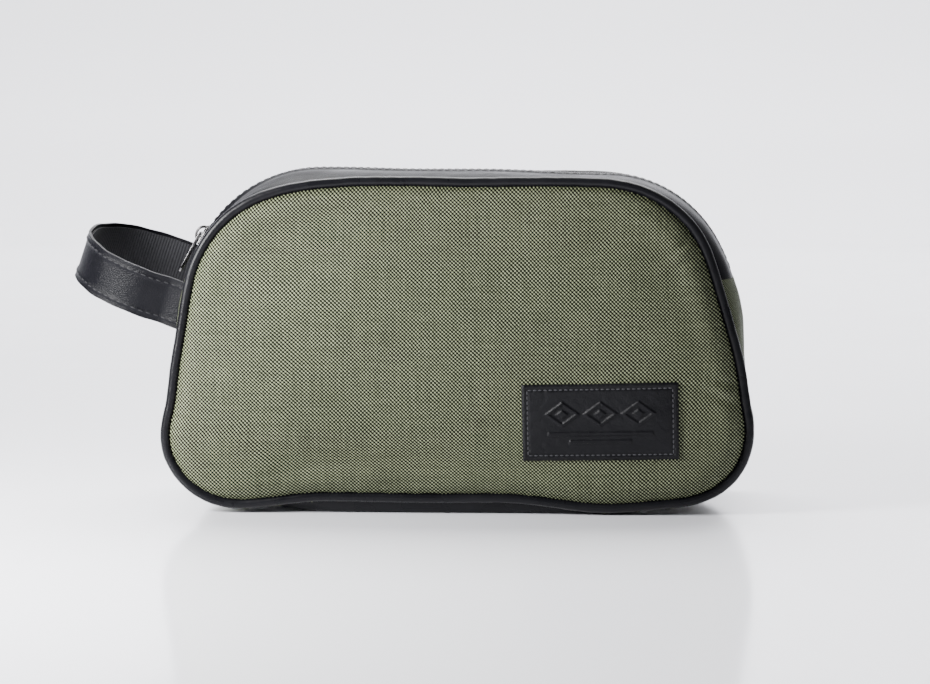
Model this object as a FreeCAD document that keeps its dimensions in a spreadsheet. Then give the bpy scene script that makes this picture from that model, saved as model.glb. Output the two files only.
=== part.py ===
"""A zipped toiletry bag with two piped cloth panels, a zipped gusset and a side strap.

The bag stands on its base, which is the XY plane. +X runs to the right along the bag, the front
panel faces -Y and +Z is up. One seam outline, the line of the piping, drives every piece: the
panels are trays inside it. The gusset strips are swept along a second outline, which is the same with
its sides further out, because the middle of the gusset bulges. The front and rear halves are
mirror images, and so are the left and right gussets.

The bag opens above the two ends of its zip. There the front panel bends, so every front piece
that crosses that line is two solids, a lower one on the bag's body and an upper one on a lip
that leans out. The rear pieces stay whole.
"""
import FreeCAD
import Part
import math
import os

import Sketcher
from FreeCAD import Placement, Rotation, Vector

# Driving dimensions, in millimetres and degrees. Each is one cell of the sheet.
SIZES = {
    # seam outline, the centre line of the piping
    "seam_half_width": 122.8,
    "seam_top": 141.4,
    "corner_radius": 31.8,
    "shoulder_radius": 52.8,
    "side_lean": 12.3,
    "seam_y": 42.0,
    # sheet goods
    "cloth": 0.8,
    "foam": 3.0,
    "lining": 0.4,
    "leather": 1.0,
    "base_leather": 1.2,
    "gusset_foam": 2.0,
    # panels
    "panel_depth": 8.0,
    "panel_round": 7.0,
    # piping
    "piping_radius": 2.2,
    "piping_cord_radius": 1.3,
    # gusset cross-section
    "crown": 4.0,
    "side_bulge": 4.2,
    "seam_drop": 2.5,
    "crown_edge": 14.0,
    # clearances
    "seam_gap": 0.1,
    "lip_gap": 0.3,
    "slider_gap": 0.5,
    # opening
    "mouth_angle": 40.0,
    "mouth_pivot_gap": 0.2,
    # zip
    "channel_half_width": 7.0,
    "tape_half_width": 20.0,
    "tape_inner_edge": 1.2,
    "tape": 0.6,
    "coil_width": 2.2,
    "coil_inner_edge": 1.0,
    "coil_rise": 0.6,
    "zip_end_angle": 34.5,
    "stop_angle": 15.5,
    "stop_length": 2.0,
    "stop_half_width": 3.8,
    "stop_height": 2.1,
    # slider and pull
    "slider_angle": 28.5,
    "slider_length": 9.0,
    "slider_width": 9.4,
    "slider_plate": 1.0,
    "slider_flange": 0.8,
    "divider_width": 1.2,
    "divider_length": 2.6,
    "bail_radius": 3.6,
    "bail_bar": 1.1,
    "bail_width": 2.0,
    "pull_length": 19.0,
    "pull_width": 5.6,
    "pull_thickness": 1.1,
    "pull_bar": 1.1,
    "pull_eye_half_width": 1.6,
    "pull_eye_reach": 4.1,
    "pull_rise": 1.1,
    # base board
    "board_margin": 1.0,
    "board_corner": 6.0,
    # label patch
    "patch_width": 65.6,
    "patch_height": 33.0,
    "patch_thickness": 1.4,
    "patch_corner": 1.5,
    "patch_x": 60.9,
    "patch_z": 38.9,
    # side strap
    "strap_width": 20.0,
    "strap_leather": 1.2,
    "strap_webbing": 1.0,
    "webbing_margin": 1.5,
    "strap_half_spacing": 37.5,
    "strap_reach": 49.0,
    "strap_bend_radius": 34.0,
    "strap_below_mouth": 10.5,
    "strap_tilt": 19.0,
    "strap_roll": 4.6,
    "strap_stub": 1.2,
    "strap_tuck": 3.4,
    "strap_end_setback": 5.5,
    "knuckle_gap": 0.3,
}

# Formulas of the outline, as expressions on the sheet.
DERIVED = {
    "corner_x": "sizes.seam_half_width - sizes.corner_radius",
    "corner_z": "sizes.crown + sizes.corner_radius",
    "shoulder_z": "sizes.seam_top - sizes.shoulder_radius",
    "shoulder_x": "derived.corner_x + (sizes.corner_radius - sizes.shoulder_radius"
                  " - (derived.shoulder_z - derived.corner_z) * sin(sizes.side_lean * 1 deg))"
                  " / cos(sizes.side_lean * 1 deg)",
    "mouth_z": "derived.shoulder_z + sizes.shoulder_radius * sin(sizes.side_lean * 1 deg)",
    "mouth_y": "sizes.seam_y + sizes.piping_radius + sizes.mouth_pivot_gap",
    "edge_y": "sizes.seam_y - sizes.piping_radius - sizes.seam_gap",
    "flat_y": "derived.edge_y - sizes.crown_edge",
    "zip_corner_x": "derived.corner_x + sizes.side_bulge",
    "zip_shoulder_x": "derived.shoulder_x + sizes.side_bulge",
    "round_radius": "(pow(sizes.crown_edge; 2) + pow(sizes.crown + sizes.seam_drop; 2))"
                    " / (2 * (sizes.crown + sizes.seam_drop))",
    "panel_inset": "sizes.piping_radius + sizes.seam_gap",
    "panel_y": "sizes.seam_y + sizes.panel_depth",
    "tape_depth": "sizes.leather + sizes.lip_gap",
    "lining_depth": "sizes.cloth + sizes.gusset_foam",
    "plate_z": "sizes.coil_rise + sizes.slider_gap",
    "bottom_plate_z": "derived.tape_depth + sizes.tape + sizes.slider_gap",
    "strap_thickness": "sizes.strap_leather + sizes.strap_webbing",
    "knuckle_radius": "sizes.strap_width / 2",
}

BIG = 400.0  # longer than the bag, for cutting tools

doc = FreeCAD.newDocument("toiletry_bag")
nodes = {}


def make_sheet():
    """Writes the driving dimensions into the sheet, and the outline's formulas beside it."""
    sheet = doc.addObject("Spreadsheet::Sheet", "sizes")
    for row, (alias, value) in enumerate(SIZES.items(), start=1):
        sheet.set(f"A{row}", alias)
        sheet.set(f"B{row}", str(value))
        sheet.setAlias(f"B{row}", alias)
    doc.recompute()
    derived = doc.addObject("App::VarSet", "derived")
    for name, formula in DERIVED.items():
        derived.addProperty("App::PropertyFloat", name, "Outline")
        derived.setExpression(name, formula)
        doc.recompute()
    return sheet


sheet = make_sheet()


def number(expression):
    """The value of an expression on the sheet, as a plain number."""
    value = sheet.evalExpression(str(expression))
    return float(getattr(value, "Value", value))


def keep(obj, name):
    """Registers an object as the sub-part of that name."""
    obj.Label = name
    nodes[name] = obj
    return obj


# Small makers for the Part workbench's features.

def box(name, low, high, place=None):
    """A box between two corners given as expressions, in the frame of place."""
    made = doc.addObject("Part::Box", name)
    for side, start, end in zip(("Length", "Width", "Height"), low, high):
        made.setExpression(side, f"({end}) - ({start})")
    offset = Placement(Vector(*[number(v) for v in low]), Rotation())
    made.Placement = place.multiply(offset) if place else offset
    return made


def boolean(kind, name, base, tool):
    """A Part::Cut, Part::Common or Part::Fuse of two objects."""
    made = doc.addObject(f"Part::{kind}", name)
    made.Base = base
    made.Tool = tool
    made.Refine = True
    return made


def mirror(name, source, normal):
    """The mirror image of an object across the plane through the origin with that normal."""
    made = doc.addObject("Part::Mirroring", name)
    made.Source = source
    made.Normal = Vector(*normal)
    return made


def both_ends(name, right):
    """The right half of a strip joined to its mirror image on the left."""
    return boolean("Fuse", name, right, mirror(f"{name}_left", right, (1, 0, 0)))


def group(name, *members):
    """Separate solids that share one sub-part."""
    made = doc.addObject("Part::Compound", name)
    made.Links = list(members)
    return made


def extrude(name, source, direction, length, start="0"):
    """A sketch extruded along a direction, from start to start + length."""
    made = doc.addObject("Part::Extrusion", name)
    made.Base = source
    made.DirMode = "Custom"
    made.Dir = Vector(*direction)
    made.Solid = True
    made.setExpression("LengthFwd", f"({start}) + ({length})")
    made.setExpression("LengthRev", f"-({start})")
    return made


def sweep(name, profile, spine, edges):
    """A profile swept along edges of the seam outline."""
    made = doc.addObject("Part::Sweep", name)
    made.Sections = [profile]
    made.Spine = (spine, [f"Edge{n}" for n in edges])
    made.Solid = True
    made.Frenet = False
    return made


# Sketches

def constrain(sketch, kind, *args, size=None):
    """Adds a constraint, bound to an expression where it has a size."""
    if size is None:
        return sketch.addConstraint(Sketcher.Constraint(kind, *args))
    value = number(size)
    if kind == "Angle":
        value = math.radians(value)
        size = f"({size}) * 1 deg"
    index = sketch.addConstraint(Sketcher.Constraint(kind, *args, value))
    sketch.setExpression(f"Constraints[{index}]", size)
    return index


def line(sketch, start, end):
    """Adds a line to a sketch."""
    return sketch.addGeometry(Part.LineSegment(Vector(*start, 0), Vector(*end, 0)), False)


def arc(sketch, centre, radius, start, end):
    """Adds an arc to a sketch, anticlockwise between two angles in degrees."""
    circle = Part.Circle(Vector(*centre, 0), Vector(0, 0, 1), radius)
    made = Part.ArcOfCircle(circle, math.radians(start), math.radians(end))
    return sketch.addGeometry(made, False)


FRONT_PLANE = Rotation(Vector(1, 0, 0), 90)      # sketch x along X, y along Z
TOP_PROFILE = Rotation(Vector(1, 1, 1), 120)     # sketch x along Y, y along Z
BASE_PROFILE = Rotation(Vector(0, 1, 0), Vector(0, 0, -1), Vector(-1, 0, 0), "XYZ")  # y down


def closed_outline(name, corner_x, shoulder_x):
    """A closed line with a flat base, round corners, leaning sides and round shoulders.

    The seam has its corners and shoulders at the driving sizes. The middle of the gusset, where
    the zip runs, has them further out, so the sides bulge. The ten edges run anticlockwise from the middle of the base, with the base and the top each
    split in the middle: 1 base, 2 corner, 3 side, 4 shoulder, 5 top, and 6 to 10 the same on
    the left from the top down.
    """
    sketch = doc.addObject("Sketcher::SketchObject", name)
    sketch.Placement = Placement(Vector(), FRONT_PLANE)
    lean = number("sizes.side_lean")
    bottom, top = number("sizes.crown"), number("sizes.seam_top")
    corner, shoulder = number("sizes.corner_radius"), number("sizes.shoulder_radius")
    cx, cz = number(corner_x), number("derived.corner_z")
    sx, sz = number(shoulder_x), number("derived.shoulder_z")
    across, up = math.cos(math.radians(lean)), math.sin(math.radians(lean))
    low = (cx + corner * across, cz + corner * up)
    high = (sx + shoulder * across, sz + shoulder * up)
    line(sketch, (0, bottom), (cx, bottom))
    arc(sketch, (cx, cz), corner, -90, lean)
    line(sketch, low, high)
    arc(sketch, (sx, sz), shoulder, lean, 90)
    line(sketch, (sx, top), (0, top))
    line(sketch, (0, top), (-sx, top))
    arc(sketch, (-sx, sz), shoulder, 90, 180 - lean)
    line(sketch, (-low[0], low[1]), (-high[0], high[1]))
    arc(sketch, (-cx, cz), corner, 180 - lean, 270)
    line(sketch, (-cx, bottom), (0, bottom))
    for first, end, second, start in (
        (0, 2, 1, 1), (1, 2, 2, 1), (2, 2, 3, 1), (3, 2, 4, 1),
        (5, 2, 6, 1), (6, 2, 7, 2), (7, 1, 8, 1), (8, 2, 9, 1),
    ):
        constrain(sketch, "Tangent", first, end, second, start)
    constrain(sketch, "Coincident", 4, 2, 5, 1)
    constrain(sketch, "Coincident", 9, 2, 0, 1)
    for flat in (0, 4, 5, 9):
        constrain(sketch, "Horizontal", flat)
    constrain(sketch, "PointOnObject", 0, 1, -2)
    constrain(sketch, "PointOnObject", 4, 2, -2)
    constrain(sketch, "DistanceY", -1, 1, 0, 1, size="sizes.crown")
    constrain(sketch, "DistanceY", -1, 1, 4, 2, size="sizes.seam_top")
    constrain(sketch, "Radius", 1, size="sizes.corner_radius")
    constrain(sketch, "Radius", 3, size="sizes.shoulder_radius")
    constrain(sketch, "Equal", 1, 8)
    constrain(sketch, "Equal", 3, 6)
    constrain(sketch, "DistanceX", -1, 1, 1, 3, size=corner_x)
    constrain(sketch, "DistanceX", 8, 3, -1, 1, size=corner_x)
    constrain(sketch, "Angle", 2, size="90 + sizes.side_lean")
    constrain(sketch, "Angle", 7, size="90 - sizes.side_lean")
    return sketch


def gusset_profile(name, outer, inner, inner_edge, place):
    """Half of a gusset strip's cross-section, from the panel's edge in to inner_edge.

    It is flat over the middle and curves down to the seam. The depths outer and inner are
    measured in from the crown of the gusset.
    """
    sketch = doc.addObject("Sketcher::SketchObject", name)
    sketch.Placement = place
    edge, flat = number("derived.edge_y"), number("derived.flat_y")
    crown, radius = number("sizes.crown"), number("derived.round_radius")
    end, reach = number(inner_edge), number("sizes.crown_edge")
    depths = [number(outer), number(inner)]
    tops = [crown - depth for depth in depths]
    turns = [math.degrees(math.acos(-reach / (radius - depth))) for depth in depths]
    feet = [crown - radius + math.sqrt((radius - depth) ** 2 - reach ** 2) for depth in depths]
    centre = (-flat, crown - radius)
    arc(sketch, centre, radius - depths[0], 90, turns[0])
    line(sketch, (-flat, tops[0]), (-end, tops[0]))
    line(sketch, (-end, tops[0]), (-end, tops[1]))
    line(sketch, (-end, tops[1]), (-flat, tops[1]))
    arc(sketch, centre, radius - depths[1], 90, turns[1])
    line(sketch, (-edge, feet[0]), (-edge, feet[1]))
    constrain(sketch, "Tangent", 0, 1, 1, 1)
    constrain(sketch, "Coincident", 1, 2, 2, 1)
    constrain(sketch, "Coincident", 2, 2, 3, 1)
    constrain(sketch, "Tangent", 3, 2, 4, 1)
    constrain(sketch, "Coincident", 4, 2, 5, 2)
    constrain(sketch, "Coincident", 0, 2, 5, 1)
    constrain(sketch, "Coincident", 0, 3, 4, 3)
    constrain(sketch, "Horizontal", 1)
    constrain(sketch, "Horizontal", 3)
    constrain(sketch, "Vertical", 2)
    constrain(sketch, "Vertical", 5)
    constrain(sketch, "Radius", 0, size=f"derived.round_radius - ({outer})")
    constrain(sketch, "Radius", 4, size=f"derived.round_radius - ({inner})")
    constrain(sketch, "DistanceX", 0, 3, -1, 1, size="derived.flat_y")
    constrain(sketch, "DistanceY", 0, 3, -1, 1, size="derived.round_radius - sizes.crown")
    constrain(sketch, "DistanceX", 5, 1, -1, 1, size="derived.edge_y")
    if end > 0:
        constrain(sketch, "DistanceX", 2, 1, -1, 1, size=inner_edge)
    else:
        constrain(sketch, "PointOnObject", 2, 1, -2)
    return sketch


def rectangle(sketch, left, right, bottom, top):
    """Draws a constrained rectangle between four expressions, all measured from the origin."""
    x0, x1, y0, y1 = [number(v) for v in (left, right, bottom, top)]
    first = line(sketch, (x0, y0), (x1, y0))
    line(sketch, (x1, y0), (x1, y1))
    line(sketch, (x1, y1), (x0, y1))
    line(sketch, (x0, y1), (x0, y0))
    for n in range(4):
        constrain(sketch, "Coincident", first + n, 2, first + (n + 1) % 4, 1)
    for n in (0, 2):
        constrain(sketch, "Horizontal", first + n)
        constrain(sketch, "Vertical", first + n + 1)
    for kind, corner, value, size in (
        ("DistanceX", first, x0, left), ("DistanceX", first + 2, x1, right),
        ("DistanceY", first, y0, bottom), ("DistanceY", first + 2, y1, top),
    ):
        if value > 0:
            constrain(sketch, kind, -1, 1, corner, 1, size=size)
        elif value < 0:
            constrain(sketch, kind, corner, 1, -1, 1, size=f"-({size})")
        else:
            constrain(sketch, "PointOnObject", corner, 1, -2 if kind == "DistanceX" else -1)
    return first


# PartDesign helpers

def new_body(name, place=None):
    """An empty PartDesign body at a place."""
    made = doc.addObject("PartDesign::Body", name)
    if place:
        made.Placement = place
    return made


def sketch_on(body, role, name, offset="0"):
    """A sketch on one of the body's own origin planes, raised by an expression."""
    sketch = body.newObject("Sketcher::SketchObject", name)
    plane = next(f for f in body.Origin.OriginFeatures if f.Role == role)
    sketch.AttachmentSupport = [(plane, "")]
    sketch.MapMode = "FlatFace"
    sketch.setExpression("AttachmentOffset.Base.z", offset)
    doc.recompute()
    return sketch


def pad(body, sketch, name, length, midplane=False, reverse=False):
    """Pads a sketch by an expression."""
    made = body.newObject("PartDesign::Pad", name)
    made.Profile = sketch
    made.setExpression("Length", length)
    made.Midplane = midplane
    made.Reversed = reverse
    doc.recompute()
    return made


def pocket(body, sketch, name):
    """Cuts a sketch through the body both ways."""
    made = body.newObject("PartDesign::Pocket", name)
    made.Profile = sketch
    made.Type = "ThroughAll"
    made.Midplane = True
    doc.recompute()
    return made


def upright_edges(shape, axis, chosen=lambda point: True):
    """Names of the straight edges that run along an axis and whose middle is chosen."""
    names = []
    for n, edge in enumerate(shape.Edges, start=1):
        if not isinstance(edge.Curve, Part.Line):
            continue
        middle = edge.valueAt((edge.FirstParameter + edge.LastParameter) / 2)
        if abs(abs(edge.Curve.Direction.dot(axis)) - 1) < 1e-6 and chosen(middle):
            names.append(f"Edge{n}")
    return names


def round_edges(body, name, radius, axis, chosen=lambda point: True):
    """Fillets the body's edges along an axis."""
    tip = body.Tip
    made = body.newObject("PartDesign::Fillet", name)
    made.Base = (tip, upright_edges(tip.Shape, axis, chosen))
    made.setExpression("Radius", radius)
    doc.recompute()
    return made


# Panels and piping

def panel_core(outline, name, depth):
    """The solid inside a panel's layer: the outline drawn in by depth, with a rounded rim."""
    inset = doc.addObject("Part::Offset2D", f"{name}_outline")
    inset.Source = outline
    inset.Join = "Intersection"
    inset.setExpression("Value", f"-(derived.panel_inset + {depth})")
    core = extrude(f"{name}_block", inset, (0, -1, 0),
                   f"derived.panel_y - {depth} - derived.edge_y", start="derived.edge_y")
    doc.recompute()
    front = -number(f"derived.panel_y - {depth}")
    rim = [
        n for n, edge in enumerate(core.Shape.Edges, start=1)
        if all(abs(v.Point.y - front) < 1e-6 for v in edge.Vertexes)
    ]
    radius = number(f"sizes.panel_round - {depth}")
    rounded = doc.addObject("Part::Fillet", name)
    rounded.Base = core
    rounded.Edges = [(n, radius, radius) for n in rim]
    return rounded


def mouth_spaces():
    """The spaces below and above the bend of the front panel.

    The bend turns about a line just in front of the piping. What stands in front of that line
    is cut back by the mouth's angle, so that the upper part has room to lean out.
    """
    lower = box("lower_space", (-BIG, -BIG, -BIG), (BIG, BIG, "derived.mouth_z"))
    sketch = doc.addObject("Sketcher::SketchObject", "upper_space_profile")
    sketch.Placement = Placement(Vector(), TOP_PROFILE)
    start = (-number("derived.mouth_y"), number("derived.mouth_z + sizes.lip_gap"))
    slope = math.radians(number("sizes.mouth_angle"))
    corners = [
        start, (BIG, start[1]), (BIG, BIG), (start[0] - BIG, start[1] + BIG),
        (start[0] - BIG * math.cos(slope), start[1] + BIG * math.sin(slope)),
    ]
    for n, corner in enumerate(corners):
        line(sketch, corner, corners[(n + 1) % len(corners)])
    for n in range(len(corners)):
        constrain(sketch, "Coincident", n, 2, (n + 1) % len(corners), 1)
    constrain(sketch, "Horizontal", 0)
    constrain(sketch, "Vertical", 1)
    constrain(sketch, "DistanceX", 0, 1, -1, 1, size="derived.mouth_y")
    constrain(sketch, "DistanceY", -1, 1, 0, 1, size="derived.mouth_z + sizes.lip_gap")
    constrain(sketch, "Angle", 4, size="-sizes.mouth_angle")
    upper = extrude("upper_space", sketch, (1, 0, 0), BIG, start=-BIG / 2)
    return lower, upper


def split_at_mouth(name, whole, spaces):
    """Cuts a front piece in two at the bend, and makes the whole rear piece as its mirror image."""
    for part, space in zip(("lower", "upper"), spaces):
        keep(boolean("Common", f"{name}_{part}", whole, space), f"front_{name}_{part}")
    keep(mirror(f"{name}_rear", whole, (0, 1, 0)), f"rear_{name}")


def make_panels(outline, spaces):
    """Face cloth, foam and lining of both panels, each a tray with a rounded rim."""
    layers = (("cloth", "sizes.cloth"), ("foam", "sizes.foam"), ("lining", "sizes.lining"))
    depth = "0"
    outer = panel_core(outline, "panel_core_0", depth)
    for n, (name, thickness) in enumerate(layers, start=1):
        depth = f"{depth} + {thickness}"
        inner = panel_core(outline, f"panel_core_{n}", f"({depth})")
        layer = boolean("Cut", f"panel_{name}", outer, inner)
        split_at_mouth(f"panel_{name}", layer, spaces)
        outer = inner


def rod_along_seam(name, radius, path):
    """A rod of one radius along the whole of the front seam."""
    section = doc.addObject("Sketcher::SketchObject", f"{name}_section")
    start = Vector(0, -number("sizes.seam_y"), number("sizes.crown"))
    section.Placement = Placement(start, TOP_PROFILE)
    section.addGeometry(Part.Circle(Vector(), Vector(0, 0, 1), number(radius)), False)
    constrain(section, "Coincident", 0, 3, -1, 1)
    constrain(section, "Radius", 0, size=radius)
    return both_ends(name, sweep(f"{name}_right", section, path, (1, 2, 3, 4, 5)))


def make_piping(outline, spaces):
    """The piping of both panels: a leather cover sewn round a cord."""
    path = doc.addObject("Part::Mirroring", "seam_line")
    path.Source = outline
    path.Normal = Vector(0, 1, 0)
    path.setExpression("Base.y", "-sizes.seam_y / 2")
    cord = rod_along_seam("piping_cord", "sizes.piping_cord_radius", path)
    rod = rod_along_seam("piping_rod", "sizes.piping_radius", path)
    split_at_mouth("piping", boolean("Cut", "piping_cover", rod, cord), spaces)
    split_at_mouth("piping_cord", cord, spaces)


# Gusset strips

def at_top():
    """The place of a profile at the middle of the top seam."""
    return Placement(Vector(0, 0, number("sizes.seam_top")), TOP_PROFILE)


def at_base(x="0"):
    """The place of a profile at the base seam, facing down, at an expression along X."""
    return Placement(Vector(number(x), 0, number("sizes.crown")), BASE_PROFILE)


def whole_width(name, half):
    """Half a gusset strip joined to its mirror image across the bag's depth."""
    return boolean("Fuse", name, half, mirror(f"{name}_rear", half, (0, 1, 0)))


def make_base():
    """The leather base between the corners, and the stiff board that lies on it."""
    profile = gusset_profile("base_profile", "0", "sizes.base_leather", "0", at_base())
    half = extrude("base_half", profile, (1, 0, 0), "2 * derived.zip_corner_x",
                   start="-derived.zip_corner_x")
    keep(whole_width("base_strip", half), "base_panel")
    board = new_body("base_board_body")
    sketch = sketch_on(board, "XY_Plane", "board_plan", "sizes.base_leather")
    half_length = "(derived.zip_corner_x - sizes.board_margin)"
    half_width = "(derived.flat_y - sizes.board_margin)"
    rectangle(sketch, f"-{half_length}", half_length, f"-{half_width}", half_width)
    pad(board, sketch, "board", "derived.lining_depth - sizes.base_leather")
    round_edges(board, "board_corners", "sizes.board_corner", Vector(0, 0, 1))
    keep(board, "base_board")


def make_side_gussets(outline):
    """Cloth and foam of the left and right gussets, from the base up to the zip's ends."""
    for name, outer, inner in (
        ("gusset_cloth", "0", "sizes.cloth"),
        ("gusset_foam", "sizes.cloth", "derived.lining_depth"),
    ):
        profile = gusset_profile(f"{name}_profile", outer, inner, "0",
                                 at_base("derived.zip_corner_x"))
        half = sweep(f"{name}_half", profile, outline, (2, 3))
        right = keep(whole_width(name, half), f"right_{name}")
        keep(mirror(f"{name}_left", right, (1, 0, 0)), f"left_{name}")


def make_lower_lining(outline):
    """The lining of the base and both gussets, one strip from zip end to zip end."""
    profile = gusset_profile("lower_lining_profile", "derived.lining_depth",
                             "derived.lining_depth + sizes.lining", "0", at_base())
    half = sweep("lower_lining_half", profile, outline, (1, 2, 3))
    keep(both_ends("lower_lining_strip", whole_width("lower_lining_right", half)),
         "lower_lining")


def below_angle(name, angle, gap="0"):
    """The space on the right below a plane that turns up from the shoulder's centre."""
    centre = Vector(number("derived.zip_shoulder_x"), 0, number("derived.shoulder_z"))
    place = Placement(centre, Rotation(Vector(0, 1, 0), -number(angle)))
    return box(name, (0, -BIG, -BIG), (BIG, BIG, gap), place)


def strip_over_top(name, profile, outline):
    """A strip from the right end of the zip over the top to the left end."""
    right = sweep(f"{name}_right", profile, outline, (4, 5))
    clear = below_angle(f"{name}_end_gap", "sizes.side_lean", "sizes.lip_gap")
    return boolean("Cut", f"{name}_half", right, clear)


def flat_profile(name, far, near, outer, inner):
    """A rectangular section beside the zip's centre line, between two depths below the crown."""
    sketch = doc.addObject("Sketcher::SketchObject", name)
    sketch.Placement = at_top()
    rectangle(sketch, f"-({far})", f"-({near})", f"sizes.crown - ({inner})",
              f"sizes.crown - ({outer})")
    return sketch


def front_and_rear(name, front):
    """Registers a front piece and its mirror image at the rear."""
    keep(front, f"front_{name}")
    keep(mirror(f"{name}_rear", front, (0, 1, 0)), f"rear_{name}")


def make_zip_bands(outline):
    """The leather bands on each side of the zip, and their lining."""
    profile = gusset_profile("zip_band_profile", "0", "sizes.leather",
                             "sizes.channel_half_width", at_top())
    band = strip_over_top("zip_band", profile, outline)
    front_and_rear("zip_band", both_ends("zip_band_front", band))
    profile = gusset_profile("band_lining_profile", "sizes.leather + sizes.seam_gap",
                             "sizes.leather + sizes.seam_gap + sizes.lining",
                             "sizes.tape_half_width + sizes.lip_gap", at_top())
    lining = strip_over_top("band_lining", profile, outline)
    front_and_rear("band_lining", both_ends("band_lining_front", lining))


def make_zip_chain(outline):
    """Tape and coil on each side. At the front, the ends that stay shut are apart from the rest."""
    closed = below_angle("zip_end_space", "sizes.zip_end_angle")
    cleared = below_angle("zip_end_cut", "sizes.zip_end_angle", "sizes.lip_gap")
    under_stop = below_angle("stop_space", "sizes.stop_angle", "sizes.stop_length")
    for name, far, near, outer, inner in (
        ("zip_tape", "sizes.tape_half_width", "sizes.tape_inner_edge",
         "derived.tape_depth", "derived.tape_depth + sizes.tape"),
        ("zip_coil", "sizes.coil_inner_edge + sizes.coil_width", "sizes.coil_inner_edge",
         "-sizes.coil_rise", "derived.tape_depth"),
    ):
        profile = flat_profile(f"{name}_profile", far, near, outer, inner)
        half = strip_over_top(name, profile, outline)
        if name == "zip_coil":
            half = boolean("Cut", f"{name}_above_stop", half, under_stop)
        opening = boolean("Cut", f"{name}_opening", half, cleared)
        keep(both_ends(f"{name}_front", opening), f"front_{name}")
        end = boolean("Common", f"{name}_end", half, closed)
        ends = group(f"{name}_ends", end, mirror(f"{name}_end_left", end, (1, 0, 0)))
        keep(ends, f"front_{name}_ends")
        keep(mirror(f"{name}_rear", both_ends(f"{name}_whole", half), (0, 1, 0)), f"rear_{name}")


# Slider, pull and stops

def on_zip(angle, side=-1):
    """The frame on the zip's crown at an angle above the shoulder's centre.

    Its X axis points up along the zip and its Z axis points out of the bag.
    """
    slope = math.radians(number(angle))
    reach = number("sizes.shoulder_radius + sizes.crown")
    centre = Vector(side * number("derived.zip_shoulder_x"), 0, number("derived.shoulder_z"))
    out = Vector(side * math.cos(slope), 0, math.sin(slope))
    turn = side * (90 - number(angle))
    return Placement(centre + out * reach, Rotation(Vector(0, 1, 0), turn))


def make_stops():
    """The metal stop clipped across each end of the coil."""
    half_width = "sizes.stop_half_width"
    stops = []
    for side, name in ((-1, "left"), (1, "right")):
        stops.append(box(
            f"zip_stop_{name}",
            ("-sizes.stop_length / 2", f"-{half_width}",
             "sizes.seam_gap - derived.tape_depth"),
            ("sizes.stop_length / 2", half_width,
             "sizes.seam_gap - derived.tape_depth + sizes.stop_height"),
            on_zip("sizes.stop_angle", side)))
    keep(group("zip_stops", *stops), "zip_end_stops")


def make_slider():
    """The slider: two plates held apart by the divider, side flanges and a round bail."""
    body = new_body("slider_casting", on_zip("sizes.slider_angle"))
    half = "sizes.slider_width / 2"
    top = "derived.plate_z + sizes.slider_plate"
    roof = sketch_on(body, "YZ_Plane", "roof_section")
    rectangle(roof, f"-{half}", half, "derived.plate_z", top)
    pad(body, roof, "top_plate", "sizes.slider_length", midplane=True)
    for name, start, end in (("left", f"-{half}", f"-({half} - sizes.slider_flange)"),
                             ("right", f"{half} - sizes.slider_flange", half)):
        side = sketch_on(body, "YZ_Plane", f"{name}_flange_section")
        rectangle(side, start, end, "sizes.slider_gap - derived.tape_depth",
                  "derived.plate_z")
        pad(body, side, f"{name}_flange", "sizes.slider_length", midplane=True)
    post = sketch_on(body, "XY_Plane", "divider_plan", "-derived.bottom_plate_z")
    nose = "sizes.slider_length / 2 - sizes.slider_plate / 2"
    rectangle(post, f"-({nose})", f"-({nose} - sizes.divider_length)",
              "-sizes.divider_width / 2", "sizes.divider_width / 2")
    pad(body, post, "divider", "derived.bottom_plate_z + derived.plate_z")
    floor = sketch_on(body, "YZ_Plane", "floor_section")
    rectangle(floor, f"-{half}", half, "-(derived.bottom_plate_z + sizes.slider_plate)",
              "-derived.bottom_plate_z")
    pad(body, floor, "bottom_plate", "sizes.slider_length", midplane=True)
    hoop = sketch_on(body, "XZ_Plane", "bail_section")
    radius = "sizes.bail_radius"
    inner = "(sizes.bail_radius - sizes.bail_bar)"
    level = number(top)
    arc(hoop, (0, level), number(radius), 0, 180)
    arc(hoop, (0, level), number(inner), 0, 180)
    line(hoop, (number(inner), level), (number(radius), level))
    line(hoop, (-number(radius), level), (-number(inner), level))
    constrain(hoop, "Coincident", 0, 1, 2, 2)
    constrain(hoop, "Coincident", 1, 1, 2, 1)
    constrain(hoop, "Coincident", 0, 2, 3, 1)
    constrain(hoop, "Coincident", 1, 2, 3, 2)
    constrain(hoop, "Coincident", 0, 3, 1, 3)
    constrain(hoop, "Horizontal", 2)
    constrain(hoop, "Horizontal", 3)
    constrain(hoop, "PointOnObject", 0, 3, -2)
    constrain(hoop, "PointOnObject", 0, 3, 2)
    constrain(hoop, "DistanceY", -1, 1, 0, 3, size=top)
    constrain(hoop, "Radius", 0, size=radius)
    constrain(hoop, "Radius", 1, size=inner)
    pad(body, hoop, "bail", "sizes.bail_width", midplane=True)
    keep(body, "zip_slider")


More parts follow.
